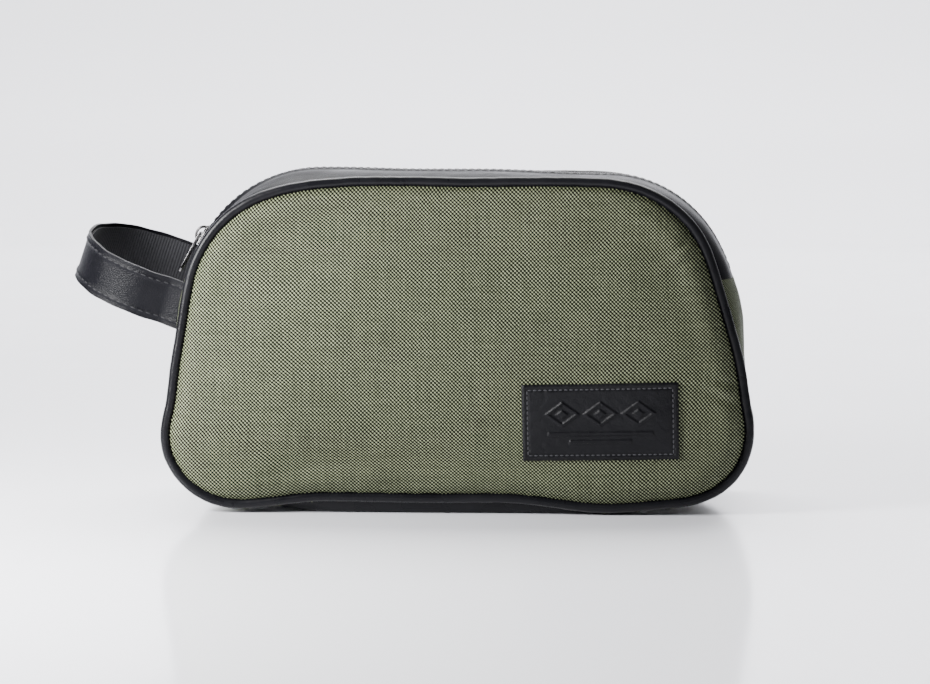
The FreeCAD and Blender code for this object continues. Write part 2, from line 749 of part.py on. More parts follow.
def make_pull():
    """The pull tab: a flat tab with an eye, whose end bar passes under the bail."""
    pivot = Placement(Vector(0, 0, number(
        "derived.plate_z + sizes.slider_plate + sizes.pull_rise")), Rotation())
    body = new_body("pull_tab", on_zip("sizes.slider_angle").multiply(pivot))
    half = "sizes.pull_width / 2"
    bar = "sizes.pull_bar / 2"
    plan = sketch_on(body, "XY_Plane", "tab_plan", "-sizes.pull_thickness / 2")
    rectangle(plan, "-sizes.pull_length", bar, f"-{half}", half)
    pad(body, plan, "tab", "sizes.pull_thickness")
    eye = sketch_on(body, "XY_Plane", "eye_plan")
    rectangle(eye, "-sizes.pull_eye_reach", f"-{bar}", "-sizes.pull_eye_half_width",
              "sizes.pull_eye_half_width")
    pocket(body, eye, "eye")
    grip = sketch_on(body, "XY_Plane", "grip_plan")
    rectangle(grip, "-(sizes.pull_length - sizes.pull_width / 2)",
              "-(sizes.pull_eye_reach + sizes.pull_width)",
              f"-{half} / 2", f"{half} / 2")
    pocket(body, grip, "grip_slot")
    limit = -number("sizes.pull_length - sizes.pull_bar / 2")
    round_edges(body, "tab_tip", "sizes.pull_width / 4", Vector(0, 0, 1),
                lambda point: point.x < limit)
    keep(body, "zip_pull")


# Label patch

def make_patch():
    """The leather label sewn low on the right of the front panel."""
    body = new_body("patch_plate")
    plan = sketch_on(body, "XZ_Plane", "patch_plan", "derived.panel_y")
    rectangle(plan, "sizes.patch_x - sizes.patch_width / 2",
              "sizes.patch_x + sizes.patch_width / 2",
              "sizes.patch_z - sizes.patch_height / 2",
              "sizes.patch_z + sizes.patch_height / 2")
    pad(body, plan, "patch_leather", "sizes.patch_thickness")
    round_edges(body, "patch_corners", "sizes.patch_corner", Vector(0, 1, 0))
    keep(body, "label_patch")


# Side strap

def strap_frame():
    """The strap's frame: X out of the bag, Y along its hinge line and Z across its width."""
    lean = math.radians(number("sizes.side_lean"))
    height = number("derived.mouth_z - sizes.strap_below_mouth")
    rise = height - number("derived.shoulder_z")
    across = number("derived.zip_shoulder_x") + (
        number("sizes.shoulder_radius") - rise * math.sin(lean)) / math.cos(lean)
    surface = across + number("sizes.crown") / math.cos(lean)
    stand_off = number("sizes.strap_stub + derived.knuckle_radius + sizes.knuckle_gap")
    tilt = math.radians(number("sizes.strap_tilt"))
    centre = Vector(-surface - stand_off * math.cos(tilt), 0,
                    height + stand_off * math.sin(tilt))
    turned = Rotation(Vector(0, 0, 1), 180)
    tilted = Rotation(Vector(0, 1, 0), number("sizes.strap_tilt"))
    rolled = Rotation(Vector(1, 0, 0), number("sizes.strap_roll"))
    return Placement(centre, rolled.multiply(tilted).multiply(turned))


def loop_section(body, name, outer, inner):
    """A U-shaped band between two insets from the strap's outer face, open towards the bag."""
    sketch = sketch_on(body, "XY_Plane", name)
    spacing, bend = number("sizes.strap_half_spacing"), number("sizes.strap_bend_radius")
    reach = number("sizes.strap_reach - derived.knuckle_radius")
    inset = [number(outer), number(inner)]
    back = -number("derived.knuckle_radius")
    turn = reach - bend
    ids = []
    for step in inset:
        side, radius, tip = spacing - step, bend - step, reach - step
        ids.append((
            line(sketch, (back, -side), (turn, -side)),
            arc(sketch, (turn, -(spacing - bend)), radius, -90, 0),
            line(sketch, (tip, -(spacing - bend)), (tip, spacing - bend)),
            arc(sketch, (turn, spacing - bend), radius, 0, 90),
            line(sketch, (turn, side), (back, side)),
        ))
    for leg, low, end, high, far in ids:
        constrain(sketch, "Tangent", leg, 2, low, 1)
        constrain(sketch, "Tangent", low, 2, end, 1)
        constrain(sketch, "Tangent", end, 2, high, 1)
        constrain(sketch, "Tangent", high, 2, far, 1)
        constrain(sketch, "Horizontal", leg)
        constrain(sketch, "Horizontal", far)
        constrain(sketch, "Equal", low, high)
    for near in (0, 4):
        tie = line(sketch, (back, -spacing + inset[0] if near == 0 else spacing - inset[0]),
                   (back, -spacing + inset[1] if near == 0 else spacing - inset[1]))
        pos = 1 if near == 0 else 2
        constrain(sketch, "Coincident", tie, 1, ids[0][near], pos)
        constrain(sketch, "Coincident", tie, 2, ids[1][near], pos)
        constrain(sketch, "Vertical", tie)
        constrain(sketch, "DistanceX", tie, 1, -1, 1, size="derived.knuckle_radius")
    for step, (leg, low, end, high, far) in zip((outer, inner), ids):
        constrain(sketch, "Radius", low, size=f"sizes.strap_bend_radius - ({step})")
        constrain(sketch, "DistanceY", leg, 1, -1, 1,
                  size=f"sizes.strap_half_spacing - ({step})")
        constrain(sketch, "DistanceY", -1, 1, far, 2,
                  size=f"sizes.strap_half_spacing - ({step})")
        constrain(sketch, "DistanceX", -1, 1, end, 1,
                  size=f"sizes.strap_reach - derived.knuckle_radius - ({step})")
    return sketch


def knuckle(name, radius, frame):
    """A cylinder about the strap's hinge line."""
    made = doc.addObject("Part::Cylinder", name)
    made.setExpression("Radius", radius)
    made.Height = BIG
    lying = Placement(Vector(0, -BIG / 2, 0), Rotation(Vector(1, 0, 0), -90))
    made.Placement = frame.multiply(lying)
    return made


def make_strap():
    """The side strap: a leather face, its webbing lining, and the two ends sewn to the bag.

    The strap's ends are rounded about the hinge line, and nest in hollows in the sewn ends,
    which stop short of that line so that the strap can swing up and down. The sewn ends tuck
    in beside the seam, against the gusset.
    """
    frame = strap_frame()
    far = box("strap_far_side", (0, -BIG, -BIG), (BIG, BIG, BIG), frame)
    round_end = boolean("Fuse", "strap_end_shape", far,
                        knuckle("strap_knuckle", "derived.knuckle_radius", frame))
    hollow = knuckle("strap_hollow", "derived.knuckle_radius + sizes.knuckle_gap", frame)
    for label, outer, inner, width in (
        ("strap_face", "0", "sizes.strap_leather", "sizes.strap_width"),
        ("strap_lining", "sizes.strap_leather", "derived.strap_thickness",
         "sizes.strap_width - 2 * sizes.webbing_margin"),
    ):
        body = new_body(f"{label}_band", frame)
        section = loop_section(body, f"{label}_section", outer, inner)
        pad(body, section, f"{label}_loop", width, midplane=True)
        keep(boolean("Common", f"{label}_trimmed", body, round_end), label)
    half = "sizes.strap_width / 2"
    back = "-(derived.knuckle_radius + sizes.knuckle_gap + sizes.strap_stub + sizes.strap_tuck)"
    for label, start, end in (
        ("strap_end_front", "sizes.strap_half_spacing - derived.strap_thickness",
         "sizes.strap_half_spacing"),
        ("strap_end_rear", "-sizes.strap_half_spacing",
         "derived.strap_thickness - sizes.strap_half_spacing"),
    ):
        front = "-sizes.strap_end_setback"
        block = box(f"{label}_block", (back, start, f"-{half}"), (front, end, half), frame)
        end_piece = boolean("Cut", f"{label}_hollowed", block, hollow)
        for strip in ("left_gusset_cloth", "left_gusset_foam", "rear_zip_band"):
            end_piece = boolean("Cut", f"{label}_off_{strip}", end_piece, nodes[strip])
        keep(end_piece, label)


def check(objects):
    """Stops if any object failed, or any sub-part is empty or broken."""
    failed = [o.Name for o in objects if {"Invalid", "Error"} & set(o.State)]
    broken = [
        name for name, o in nodes.items()
        if o.Shape.isNull() or not o.Shape.isValid() or not o.Shape.Solids
    ]
    if failed or broken:
        raise SystemExit(f"failed objects {failed}, broken sub-parts {broken}")


def main():
    """Builds every piece, checks it and writes one STEP file for each sub-part."""
    seam = closed_outline("seam_outline", "derived.corner_x", "derived.shoulder_x")
    middle = closed_outline("zip_outline", "derived.zip_corner_x", "derived.zip_shoulder_x")
    doc.recompute()
    spaces = mouth_spaces()
    make_panels(seam, spaces)
    make_piping(seam, spaces)
    make_base()
    make_side_gussets(middle)
    make_lower_lining(middle)
    make_zip_bands(middle)
    make_zip_chain(middle)
    make_stops()
    make_slider()
    make_pull()
    make_patch()
    make_strap()
    doc.recompute()
    check(doc.Objects)
    os.makedirs("parts", exist_ok=True)
    for name, part in nodes.items():
        part.Shape.exportStep(f"parts/{name}.step")
        print(f"{name}: {len(part.Shape.Solids)} solid, {part.Shape.Volume:.1f} mm3")
    print("joint frames", {
        "shoulder": (-number("derived.zip_shoulder_x"), number("derived.shoulder_z")),
        "mouth": (number("derived.mouth_y"), number("derived.mouth_z")),
        "strap": strap_frame().Base,
        "pull": nodes["zip_pull"].Placement.Base,
    })


main()
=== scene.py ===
"""Looks of a zipped toiletry bag in olive cloth with black leather trim and a side strap.

The bag stands on its base, its front faces -Y and +X runs to its right. Two outlines shape it:
the seam, where the piping of each panel lies, and the zip line, the middle of the gusset. Every
soft piece is a grid laid over those outlines, so neighbours meet where they are sewn.
"""
import logging
import math
from dataclasses import dataclass
from enum import Enum

import bpy
import numpy as np
from mathutils import Matrix, Vector


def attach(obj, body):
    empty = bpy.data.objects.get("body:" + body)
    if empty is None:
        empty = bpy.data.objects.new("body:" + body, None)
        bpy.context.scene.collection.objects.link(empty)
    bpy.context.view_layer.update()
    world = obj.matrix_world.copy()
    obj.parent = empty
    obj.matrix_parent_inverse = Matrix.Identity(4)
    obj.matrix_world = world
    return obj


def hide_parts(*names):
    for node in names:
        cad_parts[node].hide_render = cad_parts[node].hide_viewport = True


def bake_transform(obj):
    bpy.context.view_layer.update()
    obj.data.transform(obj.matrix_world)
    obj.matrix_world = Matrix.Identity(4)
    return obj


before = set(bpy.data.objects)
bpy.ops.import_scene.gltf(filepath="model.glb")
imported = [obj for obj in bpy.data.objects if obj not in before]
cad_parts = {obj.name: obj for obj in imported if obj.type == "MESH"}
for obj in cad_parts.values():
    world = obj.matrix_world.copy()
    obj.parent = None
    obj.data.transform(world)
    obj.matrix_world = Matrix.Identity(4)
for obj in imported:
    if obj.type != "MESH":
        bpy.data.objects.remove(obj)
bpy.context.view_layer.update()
LOG = logging.getLogger("toiletry_bag")

MM = 0.001
MIDDLE = Vector((0.0, 0.0, 65.0 * MM))


class Slot(Enum):
    """The record's material slots; the pieces name them, but take their finish from Finishes."""

    CLOTH = "olive_cloth"
    TRIM = "black_leather"
    PATCH = "patch_leather"
    STRAP = "strap_leather"
    WEBBING = "strap_webbing"
    LINING = "black_lining"
    TAPE = "zip_tape"
    COIL = "zip_coil"
    METAL = "zip_metal"


class Side(Enum):
    """The front or the rear of the bag, as a sign along Y."""

    FRONT = -1
    REAR = 1


# Shaping helpers


def smoothstep(value: np.ndarray, start: float, end: float) -> np.ndarray:
    """Rises smoothly from 0 to 1.

    Args:
        value: Where to read the step.
        start: Where it leaves 0.
        end: Where it reaches 1.

    Returns:
        The height of the step at each value.
    """
    t = np.clip((np.asarray(value, float) - start) / (end - start), 0.0, 1.0)
    return t * t * (3.0 - 2.0 * t)


def bump(value: np.ndarray, centre: float, spread: float) -> np.ndarray:
    """A bell curve of height 1 about a centre."""
    return np.exp(-(((np.asarray(value, float) - centre) / spread) ** 2))


def ripple(value: np.ndarray, length: float, seed: float) -> np.ndarray:
    """An uneven wave between about -1 and 1.

    Args:
        value: Where to read the wave.
        length: The length of its main swell.
        seed: Shifts the wave, so that two pieces differ.

    Returns:
        The height of the wave at each value.
    """
    turn = 2.0 * math.pi * np.asarray(value, float) / length
    slow = 0.5 * np.sin(turn + 3.1 * seed)
    middle = 0.3 * np.sin(2.3 * turn + 1.7 * seed)
    fast = 0.2 * np.sin(4.7 * turn + 5.3 * seed)
    return slow + middle + fast


# Outlines


@dataclass(frozen=True)
class Outline:
    """A closed line with a flat base, round corners, leaning sides and round shoulders.

    A place on it is a step: 0 to 1 runs along the right half of the base, 1 to 2 round the
    corner, 2 to 3 up the side, 3 to 4 round the shoulder, 4 to 5 to the middle of the top, and
    5 to 10 the same on the left, back down to the middle of the base.
    """

    half_width: float
    base: float = 4.0 * MM
    top: float = 141.4 * MM
    corner_radius: float = 31.8 * MM
    shoulder_radius: float = 52.8 * MM
    lean: float = math.radians(12.3)
    spread: float = 0.0

    @property
    def corner(self) -> tuple[float, float]:
        """The centre of the right corner, as x and z."""
        return self.half_width - self.corner_radius + self.spread, self.base + self.corner_radius

    @property
    def shoulder(self) -> tuple[float, float]:
        """The centre of the right shoulder, as x and z.

        Returns:
            Its x and its z.
        """
        corner_x, corner_z = self.corner
        z = self.top - self.shoulder_radius
        across = self.corner_radius - self.shoulder_radius - (z - corner_z) * math.sin(self.lean)
        return corner_x + across / math.cos(self.lean), z

    def lengths(self) -> list[float]:
        """The lengths of the five stretches of the right half.

        Returns:
            The lengths of the base, the corner, the side, the shoulder and the top.
        """
        corner, shoulder = self.corner, self.shoulder
        rise = (shoulder[0] - corner[0], shoulder[1] - corner[1])
        side = rise[1] * math.cos(self.lean) - rise[0] * math.sin(self.lean)
        return [
            corner[0],
            self.corner_radius * (math.pi / 2 + self.lean),
            side,
            self.shoulder_radius * (math.pi / 2 - self.lean),
            shoulder[0],
        ]

    def at(self, step: np.ndarray, offset: np.ndarray | float = 0.0) -> tuple[np.ndarray, np.ndarray]:
        """Places on the line, or beside it.

        Args:
            step: Places along the line, in steps.
            offset: How far outside the line, in metres.

        Returns:
            The x and the z of each place.
        """
        step = np.mod(np.asarray(step, float), 10.0)
        left = step > 5.0
        t = np.where(left, 10.0 - step, step)
        corner, shoulder, lean = self.corner, self.shoulder, self.lean
        turn = np.select(
            [t < 1, t < 2, t < 3, t < 4],
            [np.full_like(t, -math.pi / 2),
             -math.pi / 2 + (t - 1) * (math.pi / 2 + lean),
             np.full_like(t, lean),
             lean + (t - 3) * (math.pi / 2 - lean)],
            math.pi / 2,
        )
        rise = np.clip(t - 2, 0.0, 1.0)
        radius = np.where(t < 2, self.corner_radius, self.shoulder_radius)
        radius = np.where((t >= 2) & (t < 3),
                          self.corner_radius + rise * (self.shoulder_radius - self.corner_radius),
                          radius)
        centre_x = corner[0] + rise * (shoulder[0] - corner[0])
        centre_z = corner[1] + rise * (shoulder[1] - corner[1])
        centre_x = np.where(t < 1, t * corner[0], centre_x)
        centre_x = np.where(t > 4, (5 - t) * shoulder[0], centre_x)
        x = centre_x + (radius + offset) * np.cos(turn)
        z = centre_z + (radius + offset) * np.sin(turn)
        return np.where(left, -x, x), z

    def marks(self) -> tuple[np.ndarray, np.ndarray]:
        """The whole steps from -5 to 10, and the line's length up to each.

        Returns:
            The steps, and their distances from the middle of the base.
        """
        lengths = self.lengths()
        edges = np.concatenate([[0.0], np.cumsum(lengths[::-1] + lengths + lengths[::-1])])
        return np.arange(-5, 11), edges - edges[5]

    def distance(self, step: np.ndarray) -> np.ndarray:
        """The length of the line from the middle of the base to each step."""
        return np.interp(step, *self.marks())

    def step_at(self, share: np.ndarray, start: float, end: float) -> np.ndarray:
        """Steps at even lengths along a stretch.

        Args:
            share: Shares of the stretch's length, from 0 to 1.
            start: The step where the stretch starts.
            end: The step where it ends.

        Returns:
            The step of each share.
        """
        low, high = self.distance(start), self.distance(end)
        return np.interp(low + share * (high - low), *self.marks()[::-1])


SEAM = Outline(half_width=122.8 * MM)
ZIP_LINE = Outline(half_width=122.8 * MM, spread=4.2 * MM)
CROWN = 4.0 * MM
SEAM_Y = 42.0 * MM
SEWN_Y = 41.2 * MM
LEVEL_Y = 21.0 * MM
BASE_LEVEL_Y = 37.4 * MM
CORNER_SLACK = 5.6 * MM
LEFT_SHOULDER_DIP = 2.6 * MM
RIGHT_SHOULDER_SLACK = 2.4 * MM
TOP_SLACK = 0.8 * MM
BASE_ARCH = 3.4 * MM
LEFT_SWELL = 3.0 * MM
REAR_SHARE = 0.7


def gusset(step: np.ndarray, y: np.ndarray, lift: np.ndarray | float = 0.0) -> np.ndarray:
    """Places on the outside of the gusset, which rounds over from its seams to a level middle.

    The level middle is wider along the base. The gusset is slack at the lower corners and at the
    right shoulder, and dips beside the slider at the left one.

    Args:
        step: Places along the outlines, in steps.
        y: Places across the gusset, in metres from its middle.
        lift: How far outside the surface, in metres.

    Returns:
        One row of x, y and z for each place.
    """
    step, y = np.broadcast_arrays(np.asarray(step, float), np.asarray(y, float))
    side = np.abs(np.where(step > 5.0, 10.0 - step, step))
    slack = CORNER_SLACK * (smoothstep(side, 0.62, 1.25) - smoothstep(side, 2.1, 2.95))
    slack = slack + LEFT_SHOULDER_DIP * bump(step, 6.75, 0.45) * smoothstep(np.abs(y), 8 * MM, 15 * MM)
    shoulder = smoothstep(step, 2.7, 3.2) - smoothstep(step, 4.0, 4.9)
    top = smoothstep(step, 4.0, 4.9) - smoothstep(step, 5.3, 5.9)
    slack = slack + RIGHT_SHOULDER_SLACK * shoulder + TOP_SLACK * top
    outer_x, outer_z = ZIP_LINE.at(step, CROWN + lift - slack)
    base = 1.0 - smoothstep(side, 0.5, 0.92)
    span = SEWN_Y - LEVEL_Y - (BASE_LEVEL_Y - LEVEL_Y) * base
    t = np.clip((SEWN_Y - np.abs(y)) / span, 0.0, 1.0)
    round_over = np.sqrt(1.0 - (1.0 - t) ** 2.2)
    edge_x, edge_z = SEAM.at(step, -0.6 * MM + lift)
    x = edge_x + (outer_x - edge_x) * round_over
    z = edge_z + (outer_z - edge_z) * round_over
    return np.stack([x, y, z], -1)


def settle(points: np.ndarray) -> np.ndarray:
    """Lets the sewn edges ease out of their drawn outline, as filled cloth does.

    The base seam arches up in the middle, the top seam waves and the sides swell.

    Args:
        points: One row of x, y and z for each place.

    Returns:
        The places after the bag has settled.
    """
    x, y, z = points[..., 0], points[..., 1], points[..., 2]
    depth = np.abs(y)
    low = (1.0 - smoothstep(z, 5.0 * MM, 36.0 * MM)) * smoothstep(depth, 38.0 * MM, 41.2 * MM)
    high = smoothstep(z, 100.0 * MM, 139.0 * MM) * smoothstep(depth, 22.0 * MM, 41.0 * MM)
    arch = BASE_ARCH * smoothstep(x, -92 * MM, -56 * MM) * (1.0 - smoothstep(x, 14 * MM, 66 * MM))
    arch = arch - 1.0 * MM * bump(x, 60 * MM, 20 * MM) + 1.7 * MM * bump(x, 98 * MM, 19 * MM)
    arch = arch - 0.4 * MM * bump(x, -14 * MM, 26 * MM)
    wave = -1.9 * MM * bump(x, -70 * MM, 20 * MM) - 0.5 * MM * bump(x, 6 * MM, 22 * MM)
    wave = wave - 0.5 * MM * bump(x, 62 * MM, 18 * MM)
    share = np.where(y > 0.0, REAR_SHARE, 1.0)
    left = LEFT_SWELL + 1.3 * MM * bump(z, 98 * MM, 20 * MM) - 1.6 * MM * bump(z, 45 * MM, 14 * MM)
    left = left * smoothstep(-x, 40 * MM, 108 * MM)
    right = 1.3 * MM * bump(z, 66 * MM, 16 * MM) - 1.2 * MM * bump(z, 106 * MM, 14 * MM)
    right = right * smoothstep(x, 40 * MM, 108 * MM)
    at_seam = smoothstep(depth, 31.0 * MM, 41.0 * MM)
    moved = points.copy()
    moved[..., 0] = x + (right - left) * at_seam
    moved[..., 2] = np.maximum(z + (arch * low + wave * high) * share, 0.05 * MM)
    return moved


# Mesh helpers


def edit(obj: bpy.types.Object) -> None:
    """Opens an object alone in edit mode with all of its mesh selected.

    Args:
        obj: The object.
    """
    pick(obj)
    bpy.ops.object.mode_set(mode="EDIT")
    bpy.ops.mesh.select_all(action="SELECT")


def done() -> None:
    """Closes edit mode."""
    bpy.ops.object.mode_set(mode="OBJECT")


def pick(obj: bpy.types.Object) -> None:
    """Selects one object alone and makes it active.

    Args:
        obj: The object.
    """
    bpy.ops.object.select_all(action="DESELECT")
    obj.select_set(True)
    bpy.context.view_layer.objects.active = obj


def added(name: str) -> bpy.types.Object:
    """Names the primitive that was just added, and its mesh.

    Args:
        name: The new name.

    Returns:
        The object.
    """
    obj = bpy.context.active_object
    obj.name = name
    obj.data.name = name
    return obj


def read_points(obj: bpy.types.Object) -> np.ndarray:
    """The places of an object's vertices.

    Args:
        obj: The object.

    Returns:
        One row of x, y and z for each vertex.
    """
    points = np.empty(len(obj.data.vertices) * 3)
    obj.data.vertices.foreach_get("co", points)
    return points.reshape(-1, 3)


def write_points(obj: bpy.types.Object, points: np.ndarray) -> None:
    """Moves an object's vertices to new places."""
    obj.data.vertices.foreach_set("co", np.ascontiguousarray(points, float).ravel())
    obj.data.update()


def write_uv(obj: bpy.types.Object, uv: np.ndarray) -> None:
    """Writes one flat place, in metres, for each vertex into the map called cloth.

    Args:
        obj: The object.
        uv: One row of two lengths for each vertex.
    """
    while obj.data.uv_layers:
        obj.data.uv_layers.remove(obj.data.uv_layers[0])
    layer = obj.data.uv_layers.new(name="cloth")
    corners = np.empty(len(obj.data.loops), int)
    obj.data.loops.foreach_get("vertex_index", corners)
    layer.data.foreach_set("uv", np.ascontiguousarray(uv[corners], float).ravel())


def grid(name: str, along: int, across: int) -> tuple[bpy.types.Object, np.ndarray, np.ndarray]:
    """Adds a flat grid to lay over a surface.

    Args:
        name: The piece's name.
        along: How many faces along it.
        across: How many faces across it.

    Returns:
        The object, and the share along and the share across of each vertex, from 0 to 1.
    """
    bpy.ops.object.select_all(action="DESELECT")
    bpy.ops.mesh.primitive_grid_add(x_subdivisions=along, y_subdivisions=across, size=1.0)
    obj = added(name)
    points = read_points(obj)
    return obj, points[:, 0] + 0.5, points[:, 1] + 0.5


def finish_modifier(obj: bpy.types.Object, kind: str, **settings: float | int | str | bool) -> None:
    """Adds a modifier to an object and applies it.

    Args:
        obj: The object.
        kind: The kind of modifier.
        **settings: Its settings by name.
    """
    pick(obj)
    modifier = obj.modifiers.new(kind.title(), kind)
    for name, value in settings.items():
        setattr(modifier, name, value)
    bpy.ops.object.modifier_apply(modifier=modifier.name)


def thicken(obj: bpy.types.Object, thickness: float) -> None:
    """Gives a sheet its thickness, away from its outer face."""
    finish_modifier(obj, "SOLIDIFY", thickness=thickness, offset=-1.0, use_even_offset=False)


def merge(obj: bpy.types.Object) -> None:
    """Merges doubled vertices and turns every face outwards.

    Args:
        obj: The object.
    """
    edit(obj)
    bpy.ops.mesh.remove_doubles(threshold=0.005 * MM)
    bpy.ops.mesh.normals_make_consistent(inside=False)
    done()


def face_outwards(obj: bpy.types.Object, inside: Vector = MIDDLE) -> None:
    """Flips an open sheet whose faces look towards the inside of what it covers.

    Args:
        obj: The open sheet.
        inside: A point inside, by default the middle of the bag.
    """
    total = sum(face.normal.dot(face.center - inside) * face.area for face in obj.data.polygons)
    if total < 0.0:
        edit(obj)
        bpy.ops.mesh.flip_normals()
        done()


def smooth(obj: bpy.types.Object, degrees: float = 40.0) -> None:
    """Shades an object smooth, apart from edges sharper than an angle."""
    pick(obj)
    bpy.ops.object.shade_smooth_by_angle(angle=math.radians(degrees))


def copies(pattern: bpy.types.Object, places: list[Matrix], name: str) -> bpy.types.Object:
    """Copies a small shape to many places, as one mesh, and removes the pattern.

    Args:
        pattern: The shape, modelled about the origin.
        places: Where each copy goes.
        name: The new piece's name.

    Returns:
        The piece with all copies.
    """
    base = read_points(pattern)
    faces = [tuple(face.vertices) for face in pattern.data.polygons]
    points, polygons = [], []
    for n, place in enumerate(places):
        turn = np.array(place.to_3x3())
        points.append(base @ turn.T + np.array(place.translation))
        polygons += [tuple(v + n * len(base) for v in face) for face in faces]
    mesh = bpy.data.meshes.new(name)
    mesh.from_pydata(np.concatenate(points).tolist(), [], polygons)
    obj = bpy.data.objects.new(name, mesh)
    bpy.context.scene.collection.objects.link(obj)
    bpy.data.objects.remove(pattern)
    smooth(obj, 60.0)
    return obj


def dress(obj: bpy.types.Object, *finishes: bpy.types.Material) -> None:
    """Gives an object its materials in order.

    Args:
        obj: The object.
        *finishes: Its materials.
    """
    obj.data.materials.clear()
    for finish in finishes:
        obj.data.materials.append(finish)


# Finishes


class Graph:
    """Builds the nodes of one material round a Principled shader."""

    def __init__(self, name: str) -> None:
        """Starts an empty material.

        Args:
            name: The material's name.
        """
        self.material = bpy.data.materials.new(name)
        self.material.use_nodes = True
        self.tree = self.material.node_tree
        self.tree.nodes.clear()
        output = self.tree.nodes.new("ShaderNodeOutputMaterial")
        self.shader = self.tree.nodes.new("ShaderNodeBsdfPrincipled")
        self.tree.links.new(self.shader.outputs[0], output.inputs[0])

    def feed(self, socket: bpy.types.NodeSocket, value: object) -> None:
        """Links a socket to another one, or sets its value.

        Args:
            socket: The socket to feed.
            value: A socket, a number, or a colour or vector.
        """
        if isinstance(value, bpy.types.NodeSocket):
            self.tree.links.new(value, socket)
        else:
            socket.default_value = value

    def node(self, kind: str, inputs: dict[str | int, object], **settings: object) -> bpy.types.Node:
        """Adds a node.

        Args:
            kind: The node's type, without the shader prefix.
            inputs: What feeds each of its inputs.
            **settings: The node's own settings.

        Returns:
            The node.
        """
        made = self.tree.nodes.new(f"ShaderNode{kind}")
        for name, value in settings.items():
            setattr(made, name, value)
        for name, value in inputs.items():
            self.feed(made.inputs[name], value)
        return made

    def math(self, operation: str, *values: object) -> bpy.types.NodeSocket:
        """The result of a sum on sockets and numbers."""
        return self.node("Math", dict(enumerate(values)), operation=operation).outputs[0]

    def ramp(self, value: object, low: float, high: float, start: float,
             end: float) -> bpy.types.NodeSocket:
        """Maps a span of one value to a span of another.

        Args:
            value: What is read.
            low: The read value at the start.
            high: The read value at the end.
            start: The result at the start.
            end: The result at the end.

        Returns:
            The mapped value.
        """
        inputs = {0: value, 1: low, 2: high, 3: start, 4: end}
        return self.node("MapRange", inputs).outputs[0]

    def blend(self, factor: object, first: object, second: object) -> bpy.types.NodeSocket:
        """A colour between two colours.

        Args:
            factor: The share of the second.
            first: The first colour.
            second: The second colour.

        Returns:
            The mixed colour.
        """
        made = self.node("Mix", {}, data_type="RGBA")
        for number, value in ((0, factor), (6, first), (7, second)):
            self.feed(made.inputs[number], value)
        return made.outputs[2]

    def stretched(self, place: object, scale: tuple[float, float, float]) -> bpy.types.NodeSocket:
        """A place scaled by its own amount along each axis."""
        return self.node("Mapping", {0: place, 3: scale}).outputs[0]

    def noise(self, place: object, scale: float, detail: float = 3.0) -> bpy.types.NodeSocket:
        """Cloudy noise about 0.5 at a number of swells for each metre."""
        return self.node("TexNoise", {"Vector": place, "Scale": scale, "Detail": detail}).outputs[0]

    def flat(self) -> tuple[bpy.types.NodeSocket, bpy.types.NodeSocket, bpy.types.NodeSocket]:
        """The place on the cloth map, in metres.

        Returns:
            The place, then its two parts.
        """
        place = self.node("UVMap", {}, uv_map="cloth").outputs[0]
        parts = self.node("SeparateXYZ", {0: place}).outputs
        return place, parts[0], parts[1]

    def place(self) -> bpy.types.NodeSocket:
        """The place on the object, in metres."""
        return self.node("TexCoord", {}).outputs["Object"]

    def relief(self, height: object, distance: float, under: object = None) -> bpy.types.NodeSocket:
        """A surface that a height raises.

        Args:
            height: The height, from 0 to 1.
            distance: How far 1 stands out, in metres.
            under: The surface that it is raised from.

        Returns:
            The raised surface's normal.
        """
        inputs = {"Height": height, "Distance": distance, "Strength": 1.0}
        if under is not None:
            inputs["Normal"] = under
        return self.node("Bump", inputs).outputs[0]

    def set(self, **values: object) -> bpy.types.Material:
        """Feeds the shader's sockets and ends.

        Args:
            **values: What feeds each socket, named with underscores for its spaces.

        Returns:
            The material.
        """
        for name, value in values.items():
            self.feed(self.shader.inputs[name.replace("_", " ")], value)
        return self.material


Colour = tuple[float, float, float, float]


